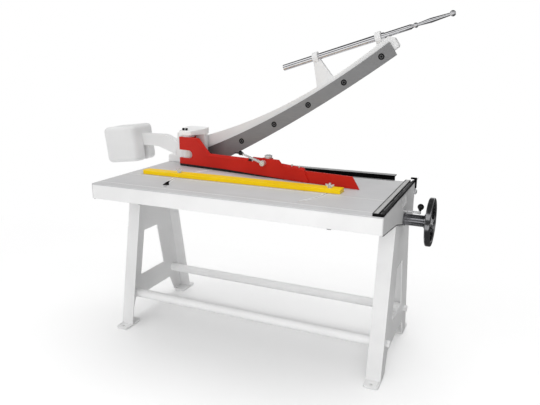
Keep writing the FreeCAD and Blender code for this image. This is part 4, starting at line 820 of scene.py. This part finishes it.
def foot_welds():
    """A bead of overlapping drops along the inside of each leg's web, on its foot plate."""
    bm = bmesh.new()
    for middle, low, high in solids_of("foot_plates"):
        web = math.copysign(leg_out - WELD_FROM_LEG, middle.x)
        run = high.y - low.y - 2 * WELD_MARGIN
        for step in range(int(run / WELD_PITCH)):
            wander = WELD_WANDER * math.sin(step * WELD_BEAT)
            along = low.y + WELD_MARGIN + step * WELD_PITCH
            spot = Vector((web + wander, along, high.z + WELD_RISE))
            bmesh.ops.create_icosphere(bm, subdivisions=2, radius=WELD_RADIUS * MM,
                                       matrix=Matrix.Translation(spot * MM) @ BEAD_SHAPE)
    add_piece(bm, "foot_welds", body_of("foot_plates"), "white_paint", [weld_metal])


# Painted shade: black strips under the end sheets' lower edges.
painted_shade_strip("left_side_plate")
painted_shade_strip("right_side_plate")
# The notch buffer also puts painted shade in the beam's notch.
notch_buffer_and_shade()
# Painted shadow: a black piece over the front end of the left slot.
slot_end_painted_shadow()
# Painted highlight: grey rings on the blade bolts' heads.
blade_bolt_rings()
knob_grip_flutes()
wheel_cap_nut()
rail_screws()
foot_welds()


# Floor, room, lamps and camera, in metres

FLOOR_HALF = 40
FLOOR_GLOW = 0.05
FLOOR_BOUNCE = "#ECECEC"
SKY_LEVEL = 0.47
SKY_LEVEL_RIGHT = 0.25 * SKY_LEVEL
WHITE = (1, 1, 1, 1)


def greys(*steps):
    """Stops of a ramp from pairs of a position and a grey level."""
    return [(position, (level, level, level, 1)) for position, level in steps]


def mirrored_floor(tree, spot):
    """How bright the floor is to polished things: dark under the part and at the far right corner, and pale
    in front, behind and at the left."""
    depth = add_node(tree, "ShaderNodeMapRange", inputs={"From Min": -3.5, "From Max": 2.5},
                     links={"Value": (spot, "Y")})
    strips = add_node(tree, "ShaderNodeValToRGB", links={"Fac": (depth, "Result")},
                      stops=greys((0.0, 1.0), (0.3, 1.0), (0.36, 0.1), (0.66, 0.1), (0.74, 0.8), (1.0, 0.8)))
    left = add_node(tree, "ShaderNodeMapRange", inputs={"From Min": -0.3, "From Max": -0.7, "To Max": 0.9},
                    links={"Value": (spot, "X")})
    pale = add_node(tree, "ShaderNodeMath", {"operation": "MAXIMUM"},
                    links={0: (strips, "Color"), 1: (left, "Result")})
    right = add_node(tree, "ShaderNodeMapRange", inputs={"From Min": 0.45, "From Max": 0.8, "To Max": 0.92},
                     links={"Value": (spot, "X")})
    behind = add_node(tree, "ShaderNodeMapRange", inputs={"From Min": 0.3, "From Max": 0.9},
                      links={"Value": (spot, "Y")})
    corner = add_node(tree, "ShaderNodeMath", {"operation": "MULTIPLY"},
                      links={0: (right, "Result"), 1: (behind, "Result")})
    elsewhere = add_node(tree, "ShaderNodeMath", {"operation": "SUBTRACT"}, {0: 1.0}, {1: (corner, "Value")})
    level = add_node(tree, "ShaderNodeMath", {"operation": "MULTIPLY"},
                     links={0: (pale, "Value"), 1: (elsewhere, "Value")})
    return add_node(tree, "ShaderNodeEmission", links={"Color": (level, "Value")})


def seen_floor(tree, where, spot):
    """What the camera sees of the floor: lit, with the part's shadow, and plain white far out and behind."""
    far = add_node(tree, "ShaderNodeVectorMath", {"operation": "LENGTH"}, links={0: where})
    fade_far = add_node(tree, "ShaderNodeMapRange", inputs={"From Min": 1.7, "From Max": 2.8},
                        links={"Value": (far, "Value")})
    fade_back = add_node(tree, "ShaderNodeMapRange", inputs={"From Min": 0.35, "From Max": 1.1},
                         links={"Value": (spot, "Y")})
    fade = add_node(tree, "ShaderNodeMath", {"operation": "MAXIMUM"},
                    links={0: (fade_far, "Result"), 1: (fade_back, "Result")})
    lit = add_node(tree, "ShaderNodeBsdfDiffuse", inputs={"Color": WHITE})
    glow = add_node(tree, "ShaderNodeEmission", inputs={"Color": WHITE, "Strength": FLOOR_GLOW})
    near = add_node(tree, "ShaderNodeAddShader", links={0: (lit, "BSDF"), 1: (glow, "Emission")})
    plain = add_node(tree, "ShaderNodeEmission", inputs={"Color": WHITE, "Strength": 1.0})
    return add_node(tree, "ShaderNodeMixShader",
                    links={0: (fade, "Value"), 1: (near, "Shader"), 2: (plain, "Emission")})


def lay_floor():
    """A wide pale floor that looks different to the camera, to polished things and to all else."""
    bm = bmesh.new()
    bmesh.ops.create_grid(bm, x_segments=1, y_segments=1, size=FLOOR_HALF)
    mesh = bpy.data.meshes.new("floor")
    bm.to_mesh(mesh)
    bm.free()
    floor = new_object("floor", mesh)
    material, tree, where = new_material("pale_floor")
    rays = add_node(tree, "ShaderNodeLightPath")
    spot = add_node(tree, "ShaderNodeSeparateXYZ", links={"Vector": where})
    bounce = add_node(tree, "ShaderNodeBsdfDiffuse", inputs={"Color": to_linear(FLOOR_BOUNCE)})
    unmirrored = add_node(tree, "ShaderNodeMixShader",
                          links={0: (rays, "Is Camera Ray"), 1: (bounce, "BSDF"),
                                 2: (seen_floor(tree, where, spot), "Shader")})
    surface = add_node(tree, "ShaderNodeMixShader",
                       links={0: (rays, "Is Glossy Ray"), 1: (unmirrored, "Shader"),
                              2: (mirrored_floor(tree, spot), "Emission")})
    add_node(tree, "ShaderNodeOutputMaterial", links={"Surface": (surface, "Shader")})
    mesh.materials.append(material)


def studio_room():
    """White to the camera, bands of bright and dark wall to polished things, and to all else a soft light
    that falls off towards the right."""
    world = bpy.data.worlds.new("studio")
    bpy.context.scene.world = world
    world.use_nodes = True
    tree = world.node_tree
    tree.nodes.clear()
    rays = add_node(tree, "ShaderNodeLightPath")
    way = add_node(tree, "ShaderNodeTexCoord")
    parts = add_node(tree, "ShaderNodeSeparateXYZ", links={"Vector": (way, "Generated")})
    front = add_node(tree, "ShaderNodeValToRGB", links={"Fac": (parts, "Z")},
                     stops=greys((0.0, 0.12), (0.36, 0.12), (0.43, 1.1),
                                 (0.74, 1.1), (0.8, 0.08), (1.0, 0.08)))
    back = add_node(tree, "ShaderNodeValToRGB", links={"Fac": (parts, "Z")},
                    stops=greys((0.0, 0.85), (0.26, 0.75), (0.36, 0.12), (1.0, 0.08)))
    side = add_node(tree, "ShaderNodeMapRange", inputs={"From Min": -0.2, "From Max": 0.2},
                    links={"Value": (parts, "Y")})
    walls = add_node(tree, "ShaderNodeMixRGB",
                     links={0: (side, "Result"), 1: (front, "Color"), 2: (back, "Color")})
    mirrored = add_node(tree, "ShaderNodeBackground", inputs={"Strength": 1.0},
                        links={"Color": (walls, "Color")})
    level = add_node(tree, "ShaderNodeMapRange",
                     inputs={"From Min": 0, "From Max": 0.9, "To Min": SKY_LEVEL, "To Max": SKY_LEVEL_RIGHT},
                     links={"Value": (parts, "X")})
    soft = add_node(tree, "ShaderNodeBackground", inputs={"Color": WHITE},
                    links={"Strength": (level, "Result")})
    seen = add_node(tree, "ShaderNodeBackground", inputs={"Color": WHITE, "Strength": 1.0})
    unseen = add_node(tree, "ShaderNodeMixShader",
                      links={0: (rays, "Is Glossy Ray"), 1: (soft, "Background"),
                             2: (mirrored, "Background")})
    surface = add_node(tree, "ShaderNodeMixShader",
                       links={0: (rays, "Is Camera Ray"), 1: (unseen, "Shader"), 2: (seen, "Background")})
    add_node(tree, "ShaderNodeOutputWorld", links={"Surface": (surface, "Shader")})


SUN_DISTANCE = 4


def hang_lamp(name, kind, place, way, power, **shape):
    """Adds a lamp that shines one way and that polished things don't mirror."""
    data = bpy.data.lights.new(name, kind)
    data.energy = power
    for key, value in shape.items():
        setattr(data, key, value)
    lamp = new_object(name, data)
    lamp.rotation_mode = "QUATERNION"
    lamp.rotation_quaternion = way.to_track_quat("-Z", "Y")
    lamp.location = place
    lamp.visible_glossy = False


def soft_sun(name, towards, softness, level):
    """A lamp so wide that its shadows are soft; level is what it adds to a surface that faces it."""
    way = Vector(towards)
    hang_lamp(name, "SUN", way * SUN_DISTANCE, -way, level * math.pi, angle=math.radians(softness))


def softbox(name, place, aim, width, height, level):
    """A lit panel; level is about what it adds to a surface that faces it from where it aims."""
    way = Vector(aim) - Vector(place)
    hang_lamp(name, "AREA", place, way, level * math.pi ** 2 * way.length_squared, shape="RECTANGLE",
              size=width, size_y=height)


CAMERA_PLACE = (1.0314, -2.2539, 1.272)
CAMERA_YAW = math.radians(-23.851)
CAMERA_PITCH = math.radians(14.581)
CAMERA_ROLL = math.radians(0.285)
FOCAL_PIXELS = 553.73
PHOTO_PIXELS = 540
SENSOR = 36.0


def photograph_camera():
    """The camera from which the part was photographed; pitch looks down and roll leans to the left."""
    over_ground = Vector((math.sin(CAMERA_YAW), math.cos(CAMERA_YAW), 0))
    ahead = over_ground * math.cos(CAMERA_PITCH) - Vector((0, 0, math.sin(CAMERA_PITCH)))
    level = Vector((math.cos(CAMERA_YAW), -math.sin(CAMERA_YAW), 0))
    over = level.cross(ahead)
    right = math.cos(CAMERA_ROLL) * level + math.sin(CAMERA_ROLL) * over
    up = -math.sin(CAMERA_ROLL) * level + math.cos(CAMERA_ROLL) * over
    data = bpy.data.cameras.new("camera")
    data.sensor_fit = "HORIZONTAL"
    data.sensor_width = SENSOR
    data.lens = SENSOR * FOCAL_PIXELS / PHOTO_PIXELS
    data.clip_start, data.clip_end = 0.05, 200
    camera = new_object("camera", data)
    turn = Matrix((right, up, -ahead)).transposed().to_4x4()
    camera.matrix_world = Matrix.Translation(CAMERA_PLACE) @ turn
    bpy.context.scene.camera = camera


lay_floor()
studio_room()
soft_sun("overhead", (0.1, 0.2, 1.0), 70, 0.47)
soft_sun("front", (-0.2, -0.9, 0.4), 80, 0.15)
softbox("front_softbox", (0.75, -2.8, 1.3), (0.0, -0.2, 0.8), 1.8, 1.6, 0.29)
photograph_camera()
bpy.context.scene.view_settings.view_transform = "Standard"
